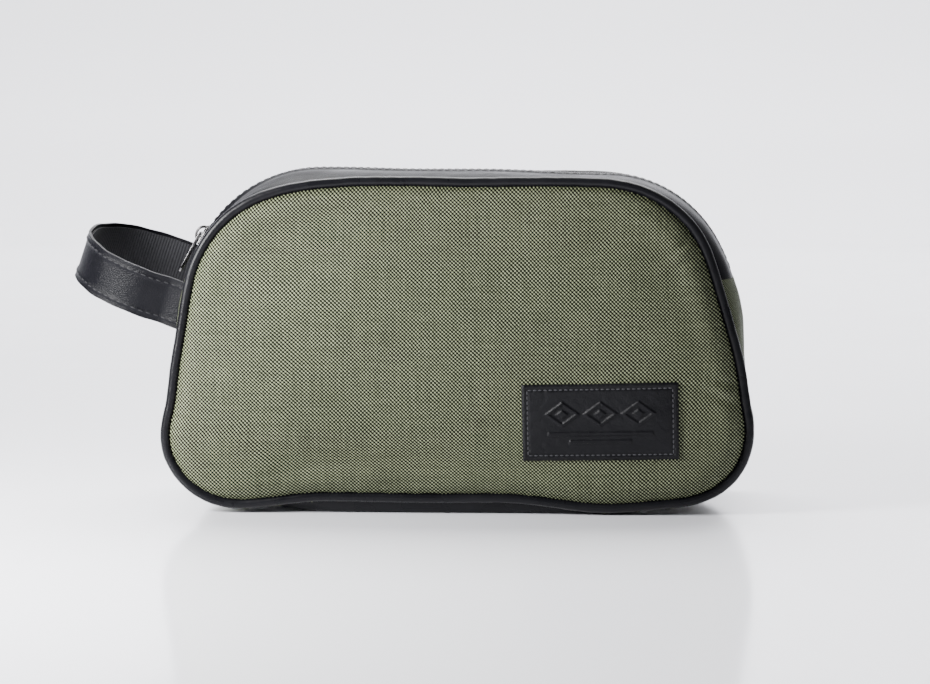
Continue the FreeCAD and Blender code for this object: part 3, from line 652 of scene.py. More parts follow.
@dataclass(frozen=True)
class CoatedWeave:
    """Plain-woven heavy yarn with a light coating: pale raised yarns whose tops are brightened into small
    spots, partly yarn colour and partly painted highlight, with painted shade in the dark gaps between.
    """

    name: str
    raised: Colour
    worn: Colour
    # The gap colour is near-black painted shade in the gaps between the yarns.
    gap_shade: Colour
    yarn: float = 0.80 * MM
    relief: float = 0.26 * MM
    roughness: float = 0.55
    specular: float = 0.3

    def make(self) -> bpy.types.Material:
        """Builds the material from the cloth map.

        Returns:
            The material.
        """
        graph = Graph(self.name)
        place, u, v = graph.flat()
        drift = graph.noise(place, 55.0, 1.0)
        sway = graph.ramp(drift, 0.3, 0.7, -0.3 * self.yarn, 0.3 * self.yarn)
        turn = math.pi / self.yarn
        across, along = (graph.math("MULTIPLY", graph.math("ADD", part, sway), turn) for part in (u, v))
        falling = graph.math("COSINE", graph.math("ADD", across, along))
        rising = graph.math("COSINE", graph.math("SUBTRACT", across, along))
        patchy = graph.ramp(graph.noise(place, 420.0, 2.0), 0.3, 0.7, 0.28, 0.52)
        crossing = graph.math("SUBTRACT", graph.math("MULTIPLY", rising, patchy),
                              graph.math("MULTIPLY", falling, graph.math("SUBTRACT", 1.0, patchy)))
        warp_tone = graph.noise(graph.stretched(place, (1100.0, 45.0, 1.0)), 1.0, 2.0)
        weft_tone = graph.noise(graph.stretched(place, (45.0, 1100.0, 1.0)), 1.0, 2.0)
        cloud = graph.noise(place, 16.0, 4.0)
        on_top = graph.ramp(crossing, -0.52, 0.84, 0.0, 1.0)
        tone = graph.math("ADD", graph.ramp(warp_tone, 0.3, 0.7, -0.28, 0.28),
                          graph.ramp(weft_tone, 0.3, 0.7, -0.28, 0.28))
        tone = graph.math("ADD", tone, graph.ramp(cloud, 0.3, 0.7, 0.0, 0.3))
        yarn = graph.blend(graph.ramp(tone, -0.3, 0.7, 0.0, 1.0), self.raised, self.worn)
        # Painted shade in the gaps between the yarns; the power shrinks the raised yarns into small bright
        # spots, partly yarn colour and partly painted highlight.
        colour = graph.blend(graph.math("POWER", on_top, 2.2), self.gap_shade, yarn)
        fuzz = graph.noise(place, 5200.0, 2.0)
        height = graph.ramp(crossing, -1.0, 1.0, 0.0, 1.0)
        normal = graph.relief(fuzz, 0.03 * MM, graph.relief(height, self.relief))
        rough = graph.ramp(on_top, 0.0, 1.0, self.roughness + 0.2, self.roughness - 0.08)
        return graph.set(Base_Color=colour, Roughness=rough, Normal=normal,
                         Specular_IOR_Level=graph.ramp(on_top, 0.0, 1.0, 0.03, self.specular))


@dataclass(frozen=True)
class CoatedLeather:
    """Black coated leather with a pebbled grain, fine creases and slightly worn high spots."""

    name: str
    colour: Colour
    worn: Colour
    grain: float = 1500.0
    grain_depth: float = 0.05 * MM
    crease_depth: float = 0.12 * MM
    roughness: float = 0.36
    specular: float = 0.4

    def make(self) -> bpy.types.Material:
        """Builds the material from the place on the object.

        Returns:
            The material.
        """
        graph = Graph(self.name)
        place = graph.place()
        pebble = graph.node("TexVoronoi", {"Vector": place, "Scale": self.grain, "Randomness": 0.9},
                            feature="DISTANCE_TO_EDGE").outputs["Distance"]
        pebble = graph.ramp(pebble, 0.0, 0.28, 0.0, 1.0)
        pores = graph.noise(place, self.grain * 2.4, 3.0)
        creases = graph.noise(graph.stretched(place, (1.0, 1.6, 1.0)), 150.0, 5.0)
        folds = graph.math("ABSOLUTE", graph.math("SUBTRACT", creases, 0.5))
        cloud = graph.noise(place, 45.0, 4.0)
        colour = graph.blend(graph.ramp(cloud, 0.42, 0.75, 0.0, 0.8), self.colour, self.worn)
        colour = graph.blend(graph.ramp(pebble, 0.0, 0.5, 0.35, 0.0), colour, (0.004, 0.004, 0.005, 1.0))
        grain = graph.math("ADD", pebble, graph.math("MULTIPLY", pores, 0.5))
        normal = graph.relief(graph.ramp(folds, 0.0, 0.12, 0.0, 1.0), self.crease_depth)
        normal = graph.relief(grain, self.grain_depth, normal)
        rough = graph.ramp(cloud, 0.3, 0.7, self.roughness - 0.06, self.roughness + 0.1)
        return graph.set(Base_Color=colour, Roughness=rough, Normal=normal,
                         Specular_IOR_Level=self.specular)


@dataclass(frozen=True)
class RibbedWebbing:
    """Narrow woven webbing with ribs across its length, the rib tops painted lighter as a highlight."""

    name: str
    colour: Colour
    high: Colour
    rib: float = 1.3 * MM
    yarn: float = 0.7 * MM
    relief: float = 0.25 * MM

    def make(self) -> bpy.types.Material:
        """Builds the material from the cloth map.

        Returns:
            The material.
        """
        graph = Graph(self.name)
        place, u, v = graph.flat()
        ribs = graph.math("SINE", graph.math("MULTIPLY", u, 2.0 * math.pi / self.rib))
        ends = graph.math("SINE", graph.math("MULTIPLY", v, 2.0 * math.pi / self.yarn))
        weave = graph.math("MULTIPLY", ribs, ends)
        height = graph.math("ADD", graph.ramp(ribs, -1.0, 1.0, 0.0, 0.6),
                            graph.ramp(weave, -1.0, 1.0, 0.0, 0.4))
        tone = graph.noise(place, 700.0, 3.0)
        # The raised ribs are lightened towards the high colour: a painted highlight on the rib tops.
        factor = graph.math("MULTIPLY", height, graph.ramp(tone, 0.3, 0.7, 0.5, 1.0))
        colour = graph.blend(factor, self.colour, self.high)
        return graph.set(Base_Color=colour, Roughness=0.74, Specular_IOR_Level=0.15,
                         Normal=graph.relief(height, self.relief))


@dataclass(frozen=True)
class PlatedMetal:
    """Dark plated metal, tumbled and a little worn on its faces."""

    name: str
    colour: Colour
    worn: Colour
    roughness: float = 0.22

    def make(self) -> bpy.types.Material:
        """Builds the material from the place on the object.

        Returns:
            The material.
        """
        graph = Graph(self.name)
        place = graph.place()
        scratch = graph.noise(graph.stretched(place, (300.0, 2600.0, 2600.0)), 1.0, 3.0)
        cloud = graph.noise(place, 420.0, 4.0)
        colour = graph.blend(graph.ramp(cloud, 0.42, 0.68, 0.0, 1.0), self.colour, self.worn)
        rough = graph.ramp(scratch, 0.3, 0.75, self.roughness - 0.06, self.roughness + 0.14)
        return graph.set(Base_Color=colour, Metallic=1.0, Roughness=rough,
                         Normal=graph.relief(scratch, 0.006 * MM))


@dataclass(frozen=True)
class SpunThread:
    """Twisted sewing thread, or moulded nylon where its twist is slight."""

    name: str
    colour: Colour
    high: Colour
    twist: float = 2600.0
    roughness: float = 0.5

    def make(self) -> bpy.types.Material:
        """Builds the material from the place on the object.

        Returns:
            The material.
        """
        graph = Graph(self.name)
        place = graph.place()
        strands = graph.node("TexWave", {"Vector": place, "Scale": self.twist, "Distortion": 1.5},
                             bands_direction="DIAGONAL").outputs["Fac"]
        colour = graph.blend(strands, self.colour, self.high)
        return graph.set(Base_Color=colour, Roughness=self.roughness, Specular_IOR_Level=0.25,
                         Normal=graph.relief(strands, 0.04 * MM))


@dataclass(frozen=True)
class StudioFloor:
    """A pale sealed surface that mirrors a little."""

    name: str = "studio_floor"
    colour: Colour = (0.85, 0.85, 0.895, 1.0)
    shade: Colour = (0.83, 0.83, 0.875, 1.0)

    def make(self) -> bpy.types.Material:
        """Builds the material with faint unevenness.

        Returns:
            The material.
        """
        graph = Graph(self.name)
        cloud = graph.noise(graph.place(), 3.0, 3.0)
        colour = graph.blend(graph.ramp(cloud, 0.3, 0.7, 0.0, 1.0), self.colour, self.shade)
        return graph.set(Base_Color=colour, Roughness=graph.ramp(cloud, 0.3, 0.7, 0.12, 0.16),
                         Specular_IOR_Level=0.5)


class Finishes:
    """Every finish of the bag, each made once."""

    def __init__(self) -> None:
        """Makes the materials."""
        self.cloth = CoatedWeave("olive_coated_weave", raised=(0.29, 0.322, 0.187, 1.0),
                                 worn=(0.145, 0.164, 0.09, 1.0), gap_shade=(0.0015, 0.002, 0.001, 1.0)).make()
        # The gussets take a darker copy of the olive cloth: the darker colour is painted shade on the sides
        # of the bag.
        self.shaded_side_cloth = CoatedWeave("olive_side_weave_painted_shade", raised=(0.18, 0.2, 0.12, 1.0),
                                      worn=(0.115, 0.13, 0.075, 1.0), gap_shade=(0.012, 0.014, 0.008, 1.0),
                                      yarn=0.5 * MM, relief=0.12 * MM).make()
        self.lining = CoatedWeave("black_plain_lining", raised=(0.03, 0.03, 0.034, 1.0),
                                  worn=(0.018, 0.018, 0.02, 1.0), gap_shade=(0.004, 0.004, 0.005, 1.0),
                                  yarn=0.35 * MM, relief=0.08 * MM).make()
        self.trim = CoatedLeather("black_trim_leather", (0.0035, 0.0035, 0.0045, 1.0),
                                  (0.007, 0.007, 0.0085, 1.0), grain=2200.0, grain_depth=0.015 * MM,
                                  crease_depth=0.02 * MM, roughness=0.27, specular=0.13).make()
        self.band = CoatedLeather("black_band_leather", (0.0035, 0.0035, 0.0045, 1.0),
                                  (0.006, 0.006, 0.0075, 1.0), grain=2200.0, grain_depth=0.015 * MM,
                                  crease_depth=0.03 * MM, roughness=0.36, specular=0.035).make()
        self.patch = CoatedLeather("label_leather", (0.002, 0.002, 0.0028, 1.0),
                                   (0.004, 0.004, 0.005, 1.0), grain=1700.0, grain_depth=0.045 * MM,
                                   roughness=0.36, specular=0.14).make()
        self.strap = CoatedLeather("pebbled_strap_leather", (0.002, 0.002, 0.003, 1.0),
                                   (0.0035, 0.0035, 0.0048, 1.0), grain=1250.0, grain_depth=0.06 * MM,
                                   crease_depth=0.03 * MM, roughness=0.33, specular=0.07).make()
        # The second colour of the webbing and of the zip tape is a painted highlight on their ribs.
        self.webbing = RibbedWebbing("black_strap_webbing", (0.005, 0.005, 0.006, 1.0),
                                     (0.022, 0.022, 0.025, 1.0)).make()
        self.tape = RibbedWebbing("black_zip_tape", (0.006, 0.006, 0.007, 1.0),
                                  (0.026, 0.026, 0.03, 1.0), rib=0.6 * MM, yarn=0.5 * MM,
                                  relief=0.1 * MM).make()
        self.coil = SpunThread("nylon_coil", (0.012, 0.012, 0.014, 1.0), (0.03, 0.03, 0.034, 1.0),
                               twist=900.0, roughness=0.3).make()
        self.thread = SpunThread("black_thread", (0.004, 0.004, 0.005, 1.0),
                                 (0.010, 0.010, 0.012, 1.0)).make()
        self.label_thread = SpunThread("grey_thread", (0.016, 0.016, 0.019, 1.0),
                                       (0.045, 0.045, 0.05, 1.0)).make()
        self.metal = PlatedMetal("gunmetal_plating", (0.035, 0.034, 0.036, 1.0),
                                 (0.125, 0.122, 0.122, 1.0)).make()


# Sub-assemblies


@dataclass(frozen=True)
class Cut:
    """The flat size that a sheet was cut to before it was sewn in."""

    width: float
    length: float
    area: float | None = None

    def declare(self, obj: bpy.types.Object, *sewn_to: str) -> None:
        """Does nothing with the piece; the sheet and its seams are not recorded.

        Args:
            obj: The sheet; not used.
            *sewn_to: The pieces that hold it; not used.
        """


@dataclass
class PanelDent:
    """A soft crease in a panel: a long shallow trough or ridge."""

    x: float
    z: float
    turn: float
    length: float
    width: float
    depth: float

    def push(self, x: np.ndarray, z: np.ndarray) -> np.ndarray:
        """How far the dent pushes the cloth in at each place.

        Args:
            x: Places across the panel.
            z: Places up the panel.

        Returns:
            The depth at each place.
        """
        angle = math.radians(self.turn)
        along = (x - self.x) * math.cos(angle) + (z - self.z) * math.sin(angle)
        across = -(x - self.x) * math.sin(angle) + (z - self.z) * math.cos(angle)
        return self.depth * np.exp(-((along / self.length) ** 2) - (across / self.width) ** 2)


@dataclass
class ClothPanel:
    """A foam-backed cloth panel that domes out of its ring of piping, and its lining."""

    side: Side
    faces: int = 196
    inset: float = 1.5 * MM
    tuck: float = 40.9 * MM
    rim_depth: float = 8.6 * MM
    rim_width: float = 13.0 * MM
    dome: float = 1.6 * MM
    shell: float = 3.8 * MM
    lining: float = 0.4 * MM
    middle: tuple[float, float] = (0.0, 66.0 * MM)
    cap: float = 5.0 * MM
    lining_cut: Cut = Cut(240.0 * MM, 132.0 * MM, 0.0272)
    swelling: np.ndarray | None = None

    def dents(self) -> list[PanelDent]:
        """The creases of this panel.

        Returns:
            Its dents and ridges.
        """
        if self.side is Side.REAR:
            return [
                PanelDent(-96 * MM, 110 * MM, -40, 20 * MM, 6 * MM, 0.9 * MM),
                PanelDent(60 * MM, 20 * MM, 12, 34 * MM, 6 * MM, 0.7 * MM),
            ]
        return [
            PanelDent(101 * MM, 119 * MM, 38, 12 * MM, 2.2 * MM, 1.0 * MM),
            PanelDent(99 * MM, 115 * MM, 36, 12 * MM, 2.4 * MM, -0.7 * MM),
            PanelDent(100 * MM, 110 * MM, 33, 11 * MM, 2.0 * MM, 0.7 * MM),
            PanelDent(113 * MM, 57 * MM, -12, 10 * MM, 1.8 * MM, 0.9 * MM),
            PanelDent(112 * MM, 50 * MM, -24, 11 * MM, 2.0 * MM, 1.0 * MM),
            PanelDent(111 * MM, 53.5 * MM, -18, 11 * MM, 2.0 * MM, -0.7 * MM),
            PanelDent(-24 * MM, 11 * MM, 4, 22 * MM, 3.6 * MM, 0.9 * MM),
            PanelDent(-70 * MM, 16 * MM, 18, 20 * MM, 5 * MM, 0.5 * MM),
        ]

    def lay(self, name: str, faces: int, depth: float) -> bpy.types.Object:
        """Lays a grid over the panel.

        Args:
            name: The piece's name.
            faces: How many faces each way.
            depth: How far inside the cloth's outer surface the layer is.

        Returns:
            The open sheet, facing out of the bag.
        """
        obj, u, v = grid(name, faces, faces)
        a, b = 2.0 * u - 1.0, 2.0 * v - 1.0
        ring = np.maximum(np.abs(a), np.abs(b))
        safe = np.maximum(ring, 1e-9)
        corner, shoulder = 1.5, 3.5
        step = np.select(
            [(b <= -safe + 1e-12), (a >= safe - 1e-12), (b >= safe - 1e-12)],
            [corner * a / safe,
             corner + (shoulder - corner) * (b / safe + 1) / 2,
             shoulder + (10 - 2 * shoulder) * (1 - a / safe) / 2],
            10 - shoulder + (shoulder - corner) * (1 - b / safe) / 2,
        )
        edge_x, edge_z = SEAM.at(step, -self.inset - depth)
        reach = 1.0 - (1.0 - ring) ** 1.35
        x = self.middle[0] + (edge_x - self.middle[0]) * reach
        z = self.middle[1] + (edge_z - self.middle[1]) * reach
        y = self.side.value * self.rise(x, z, depth)
        points = settle(np.stack([x, y, z], -1))
        write_points(obj, points)
        write_uv(obj, np.stack([x, z], -1))
        face_outwards(obj)
        return obj

    def rise(self, x: np.ndarray, z: np.ndarray, depth: float) -> np.ndarray:
        """How far from the middle of the bag the cloth stands.

        Args:
            x: Places across the panel.
            z: Places up the panel.
            depth: How far inside the cloth's outer surface to measure.

        Returns:
            The distance from the middle plane, in metres.
        """
        steps = np.linspace(0.0, 10.0, 721)
        line = np.stack(SEAM.at(steps, -self.inset - depth), -1)
        places = np.stack([x, z], -1)
        inside = np.empty(len(places))
        for n in range(0, len(places), 4096):
            gaps = places[n:n + 4096, None, :] - line[None, :, :]
            inside[n:n + 4096] = np.sqrt((gaps ** 2).sum(-1)).min(-1)
        t = np.clip(inside / self.rim_width, 0.0, 1.0)
        rim = (self.rim_depth - depth) * (1.0 - (1.0 - t) ** 2.4) ** 0.62
        dome = self.dome * (1.0 - np.exp(-((inside / (46 * MM)) ** 1.6)))
        push = sum(dent.push(x, z) for dent in self.dents()) * smoothstep(inside, 0.0, 5 * MM)
        pucker = 0.16 * MM * ripple(x + z, 17 * MM, 0.7) * bump(inside, 5 * MM, 4 * MM)
        filled = self.swelling_at(x, z) * smoothstep(inside, 2 * MM, 14 * MM)
        return self.tuck + rim + dome + filled - push + pucker

    def swell(self) -> None:
        """Fills a coarse copy of the panel by cloth simulation and keeps how far it swells."""
        pad = self.lay("swelling_pad", 36, 0.0)
        thicken(pad, 12 * MM)
        pick(pad)
        pad.data.remesh_voxel_size = 5 * MM
        bpy.ops.object.voxel_remesh()
        rest = read_points(pad)
        depth = np.abs(rest[:, 1])
        held = [int(n) for n in np.nonzero(depth < depth.max() - 5.5 * MM)[0]]
        pad.vertex_groups.new(name="held").add(held, 1.0, "REPLACE")
        modifier = pad.modifiers.new("Cloth", "CLOTH")
        modifier.settings.quality = 5
        modifier.settings.use_pressure = True
        modifier.settings.uniform_pressure_force = 4.0
        modifier.settings.vertex_group_mass = "held"
        modifier.settings.effector_weights.gravity = 0.0
        for number in range(1, 21):
            bpy.context.scene.frame_set(number)
        bpy.ops.object.modifier_apply(modifier=modifier.name)
        out = (read_points(pad)[:, 1] - rest[:, 1]) * self.side.value
        front = depth > depth.max() - 9 * MM
        self.swelling = np.column_stack([rest[front][:, 0], rest[front][:, 2],
                                         np.clip(out[front], -self.cap, self.cap)])
        bpy.data.objects.remove(pad)
        bpy.context.scene.frame_set(1)
        LOG.info("%s panel swells up to %.1f mm", self.side.name.lower(), out.max() / MM)

    def swelling_at(self, x: np.ndarray, z: np.ndarray) -> np.ndarray:
        """How far the simulated cloth stands out at each place.

        Args:
            x: Places across the panel.
            z: Places up the panel.

        Returns:
            The extra height, in metres.
        """
        total = np.zeros(len(x))
        if self.swelling is None:
            return total
        for n in range(0, len(x), 2048):
            across = x[n:n + 2048, None] - self.swelling[None, :, 0]
            up = z[n:n + 2048, None] - self.swelling[None, :, 1]
            weight = np.exp(-(across ** 2 + up ** 2) / (7 * MM) ** 2) + 1e-12
            total[n:n + 2048] = (weight * self.swelling[None, :, 2]).sum(1) / weight.sum(1)
        return total

    def build(self, finishes: Finishes) -> bpy.types.Object:
        """Builds the panel and its lining.

        Args:
            finishes: The bag's finishes.

        Returns:
            The panel.
        """
        name = self.side.name.lower()
        self.swell()
        panel = self.lay(f"{name}_panel", self.faces, 0.0)
        thicken(panel, self.shell)
        smooth(panel, 60.0)
        dress(panel, finishes.cloth)
        lining = self.lay(f"{name}_panel_inner_lining", 64, self.shell + 0.3 * MM)
        thicken(lining, self.lining)
        smooth(lining, 60.0)
        dress(lining, finishes.lining)
        if self.side is Side.FRONT:
            join_mouth(panel)
            join_mouth(lining)
            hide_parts("front_panel_cloth_lower", "front_panel_cloth_upper",
                        "front_panel_foam_lower", "front_panel_foam_upper")
            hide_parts("front_panel_lining_lower", "front_panel_lining_upper")
        else:
            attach(panel, "root")
            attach(lining, "root")
            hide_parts("rear_panel_cloth", "rear_panel_foam")
            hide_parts("rear_panel_lining")
        self.lining_cut.declare(lining, panel.name)
        LOG.info("%s: %d faces", panel.name, len(panel.data.polygons))
        return panel


def join_mouth(obj: bpy.types.Object) -> None:
    """Bakes a front piece's transform into its mesh."""
    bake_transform(obj)


@dataclass
class Piping:
    """Leather piping sewn round a cord, in the seam of one panel."""

    side: Side
    radius: float = 2.2 * MM
    along: int = 720
    around: int = 20

    def build(self, finishes: Finishes) -> bpy.types.Object:
        """Builds the ring of piping.

        Args:
            finishes: The bag's finishes.

        Returns:
            The piping.
        """
        name = self.side.name.lower()
        obj, u, v = grid(f"{name}_piping_ring", self.along, self.around)
        step = SEAM.step_at(u, 0.0, 10.0)
        length = SEAM.distance(step)
        turn = 2.0 * math.pi * v
        waver = 0.10 * MM * ripple(length, 31 * MM, 1.0 + self.side.value)
        radius = self.radius + 0.05 * MM * ripple(length, 9 * MM, 2.0)
        fade = np.sin(math.pi * u) ** 2
        x, z = SEAM.at(step, radius * np.cos(turn) + waver * fade)
        y = self.side.value * (SEAM_Y + radius * np.sin(turn))
        write_points(obj, settle(np.stack([x, y, z], -1)))
        write_uv(obj, np.stack([length, turn * self.radius], -1))
        merge(obj)
        smooth(obj, 70.0)
        dress(obj, finishes.trim)
        if self.side is Side.FRONT:
            join_mouth(obj)
            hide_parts("front_piping_lower", "front_piping_upper",
                        "front_piping_cord_lower", "front_piping_cord_upper")
        else:
            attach(obj, "root")
            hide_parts("rear_piping", "rear_piping_cord")
        LOG.info("%s: %d faces", obj.name, len(obj.data.polygons))
        return obj


def lay_gusset(name: str, steps: tuple[float, float], span: tuple[float, float], faces: tuple[int, int],
               lift: float, hem: float = 0.0) -> bpy.types.Object:
    """Lays a strip of the gusset from one step to another.

    Args:
        name: The piece's name.
        steps: The steps where it starts and ends.
        span: The places across the bag where it starts and ends.
        faces: How many faces along and across.
        lift: How far outside the gusset's surface it lies.
        hem: How much its edge nearest the zip is raised, as by a fold.

    Returns:
        The open strip, facing out of the bag.
    """
    obj, u, v = grid(name, *faces)
    step = ZIP_LINE.step_at(u, *steps)
    y = span[0] + (span[1] - span[0]) * v
    fold = hem * (1.0 - smoothstep(np.abs(y), 9.6 * MM, 11.0 * MM))
    write_points(obj, settle(gusset(step, y, lift + fold)))
    across = y * (1.0 + 0.08 * (np.abs(y) / SEWN_Y) ** 2)
    write_uv(obj, np.stack([ZIP_LINE.distance(step), across], -1))
    face_outwards(obj)
    return obj


@dataclass
class SideGusset:
    """A foam-backed cloth end of the bag, from the base up to the end of the zip."""

    left: bool
    thickness: float = 2.8 * MM
    faces: tuple[int, int] = (110, 96)

    def build(self, finishes: Finishes) -> bpy.types.Object:
        """Builds the gusset.

        Args:
            finishes: The bag's finishes.

        Returns:
            The gusset.
        """
        name = "left" if self.left else "right"
        steps = (7.0, 9.0) if self.left else (1.0, 3.0)
        obj = lay_gusset(f"{name}_gusset", steps, (-SEWN_Y, SEWN_Y), self.faces, 0.35 * MM)
        points = read_points(obj)
        sign = -1.0 if self.left else 1.0
        belly = 0.5 * MM * ripple(points[:, 2], 46 * MM, sign) * bump(points[:, 1], 0.0, 24 * MM)
        points[:, 0] += sign * belly
        write_points(obj, points)
        thicken(obj, self.thickness)
        smooth(obj, 60.0)
        # The gusset's darker copy of the olive cloth is painted shade on the sides of the bag.
        dress(obj, finishes.shaded_side_cloth)
        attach(obj, "root")
        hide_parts(f"{name}_gusset_cloth", f"{name}_gusset_foam")
        LOG.info("%s: %d faces", obj.name, len(obj.data.polygons))
        return obj


@dataclass
class Base:
    """The leather base strip, and the lining that covers it and both gussets."""

    thickness: float = 1.2 * MM
    lining_depth: float = 3.2 * MM
    lining_cut: Cut = Cut(78.5 * MM, 404.0 * MM)

    def build(self, finishes: Finishes) -> bpy.types.Object:
        """Builds the base and the lower lining.

        Args:
            finishes: The bag's finishes.

        Returns:
            The base strip.
        """
        obj = lay_gusset("base_leather", (-1.03, 1.03), (-SEWN_Y, SEWN_Y), (150, 64), 0.0)
        thicken(obj, self.thickness)
        smooth(obj, 60.0)
        dress(obj, finishes.trim)
        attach(obj, "root")
        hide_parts("base_panel")
        lining = lay_gusset("lower_inner_lining", (-3.0, 3.0), (-38.5 * MM, 38.5 * MM), (220, 30),
                            -self.lining_depth)
        thicken(lining, 0.4 * MM)
        smooth(lining, 60.0)
        dress(lining, finishes.lining)
        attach(lining, "root")
        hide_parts("lower_lining")
        self.lining_cut.declare(lining, obj.name, "left_gusset", "right_gusset")
        LOG.info("%s: %d faces", obj.name, len(obj.data.polygons))
        return obj


@dataclass
class ZipSide:
    """One side of the zip: leather band, its lining, tape, coil and stitches.

    Each run says at which steps it starts and ends.
    """

    side: Side
    band_run: tuple[float, float] = (2.94, 7.06)
    lining_run: tuple[float, float] = (3.02, 6.98)
    tape_run: tuple[float, float] = (2.97, 7.03)
    coil_run: tuple[float, float] = (3.1, 6.9)
    stitch_run: tuple[float, float] = (3.04, 6.96)
    band_edge: float = 7.0 * MM
    band: float = 1.0 * MM
    hem: float = 0.35 * MM
    stitch_y: float = 8.6 * MM
    stitch_pitch: float = 3.2 * MM
    tape_edge: float = 1.4 * MM
    tape_outer: float = 20.0 * MM
    tape_depth: float = 1.3 * MM
    tape: float = 0.6 * MM
    tooth_pitch: float = 1.5 * MM
    loop_radius: float = 1.45 * MM
    loop_wire: float = 0.36 * MM
    loop_lean: float = math.radians(14.0)
    coil_y: float = 1.55 * MM
    coil_depth: float = 0.35 * MM
    lining_cut: Cut = Cut(19.0 * MM, 270.0 * MM)
    tape_cut: Cut = Cut(18.6 * MM, 278.0 * MM)

    def join(self, obj: bpy.types.Object, slot: Slot, *nodes: str) -> None:
        """Attaches a rear piece to the root body, bakes a front one in place, and hides the CAD nodes that
        it stands for.

        Args:
            obj: The piece.
            slot: The record's slot; not used.
            *nodes: The CAD nodes that it stands for.
        """
        if self.side is Side.FRONT:
            join_mouth(obj)
        else:
            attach(obj, "root")
        if nodes:
            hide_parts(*nodes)
        LOG.info("%s: %d faces", obj.name, len(obj.data.polygons))

    def make_band(self, finishes: Finishes) -> None:
        """Builds the leather band with its folded edge, and its lining.

        Args:
            finishes: The bag's finishes.
        """
        name, sign = self.side.name.lower(), self.side.value
        span = (sign * SEWN_Y, sign * self.band_edge)
        obj = lay_gusset(f"{name}_leather_band", self.band_run, span, (300, 34), 0.0, self.hem)
        thicken(obj, self.band)
        finish_modifier(obj, "BEVEL", width=0.25 * MM, segments=2, limit_method="ANGLE",
                        angle_limit=math.radians(50.0))
        smooth(obj, 50.0)
        dress(obj, finishes.band)
        self.join(obj, Slot.TRIM, f"{name}_zip_band")
        span = (sign * 39.0 * MM, sign * 20.3 * MM)
        lining = lay_gusset(f"{name}_band_inner_lining", self.lining_run, span, (180, 12), -1.6 * MM)
        thicken(lining, 0.4 * MM)
        smooth(lining)
        dress(lining, finishes.lining)
        self.join(lining, Slot.LINING, f"{name}_band_lining")
        self.lining_cut.declare(lining, obj.name)

    def make_tape(self, finishes: Finishes) -> None:
        """Builds the woven tape.

        Args:
            finishes: The bag's finishes.
        """
        name, sign = self.side.name.lower(), self.side.value
        span = (sign * self.tape_outer, sign * self.tape_edge)
        obj = lay_gusset(f"{name}_woven_tape", self.tape_run, span, (300, 14), -self.tape_depth)
        thicken(obj, self.tape)
        smooth(obj)
        dress(obj, finishes.tape)
        nodes = [f"{name}_zip_tape"]
        if self.side is Side.FRONT:
            nodes.append("front_zip_tape_ends")
        self.join(obj, Slot.TAPE, *nodes)
        self.tape_cut.declare(obj, f"{name}_leather_band")

    def make_coil(self, finishes: Finishes) -> None:
        """Builds the coil's loops, which mesh with the other side's along the middle.

        Args:
            finishes: The bag's finishes.
        """
        name, sign = self.side.name.lower(), self.side.value
        bpy.ops.object.select_all(action="DESELECT")
        bpy.ops.mesh.primitive_torus_add(major_segments=12, minor_segments=5,
                                         major_radius=self.loop_radius, minor_radius=self.loop_wire)
        loop = added("coil_loop")
        upright = Matrix.Rotation(math.pi / 2, 4, "Y")
        oval = Matrix.Diagonal((1, 1.15, 0.62, 1))
        loop.data.transform(Matrix.Rotation(self.loop_lean, 4, "Z") @ oval @ upright)
        count = int(run_length(self.coil_run) / self.tooth_pitch)
        shift = 0.5 if self.side is Side.FRONT else 0.0
        steps = ZIP_LINE.step_at((np.arange(count) + shift) / count, *self.coil_run)
        places = [gusset_frame(float(step), sign * self.coil_y, -self.coil_depth) for step in steps]
        obj = copies(loop, places, f"{name}_coil_loops")
        dress(obj, finishes.coil)
        nodes = [f"{name}_zip_coil"]
        if self.side is Side.FRONT:
            nodes.append("front_zip_coil_ends")
        self.join(obj, Slot.COIL, *nodes)

    def make_stitches(self, finishes: Finishes) -> None:
        """Builds the run of stitches along the band's folded edge.

        Args:
            finishes: The bag's finishes.
        """
        count = int(run_length(self.stitch_run) / self.stitch_pitch)
        steps = ZIP_LINE.step_at((np.arange(count) + 0.5) / count, *self.stitch_run)
        lift = self.hem + 0.08 * MM
        places = [gusset_frame(float(s), self.side.value * self.stitch_y, lift) for s in steps]
        obj = copies(stitch("band_stitch"), places, f"{self.side.name.lower()}_band_stitches")
        dress(obj, finishes.thread)
        self.join(obj, Slot.TRIM)

    def build(self, finishes: Finishes) -> None:
        """Builds every piece of this side of the zip.

        Args:
            finishes: The bag's finishes.
        """
        self.make_band(finishes)
        self.make_tape(finishes)
        self.make_coil(finishes)
        self.make_stitches(finishes)


def run_length(run: tuple[float, float]) -> float:
    """The length of the zip line between two steps."""
    return ZIP_LINE.distance(run[1]) - ZIP_LINE.distance(run[0])


def stitch(name: str, length: float = 2.2 * MM, width: float = 0.62 * MM) -> bpy.types.Object:
    """One stitch: a short rounded length of thread along X, sunk at both ends.

    Args:
        name: The object's name.
        length: Its length.
        width: The thread's width.

    Returns:
        The stitch, about the origin.
    """
    bpy.ops.object.select_all(action="DESELECT")
    bpy.ops.mesh.primitive_uv_sphere_add(segments=8, ring_count=6, radius=0.5)
    obj = added(name)
    lying = Matrix.Rotation(math.pi / 2, 4, "Y")
    obj.data.transform(Matrix.Diagonal((length, width, 0.7 * width, 1.0)) @ lying)
    return obj


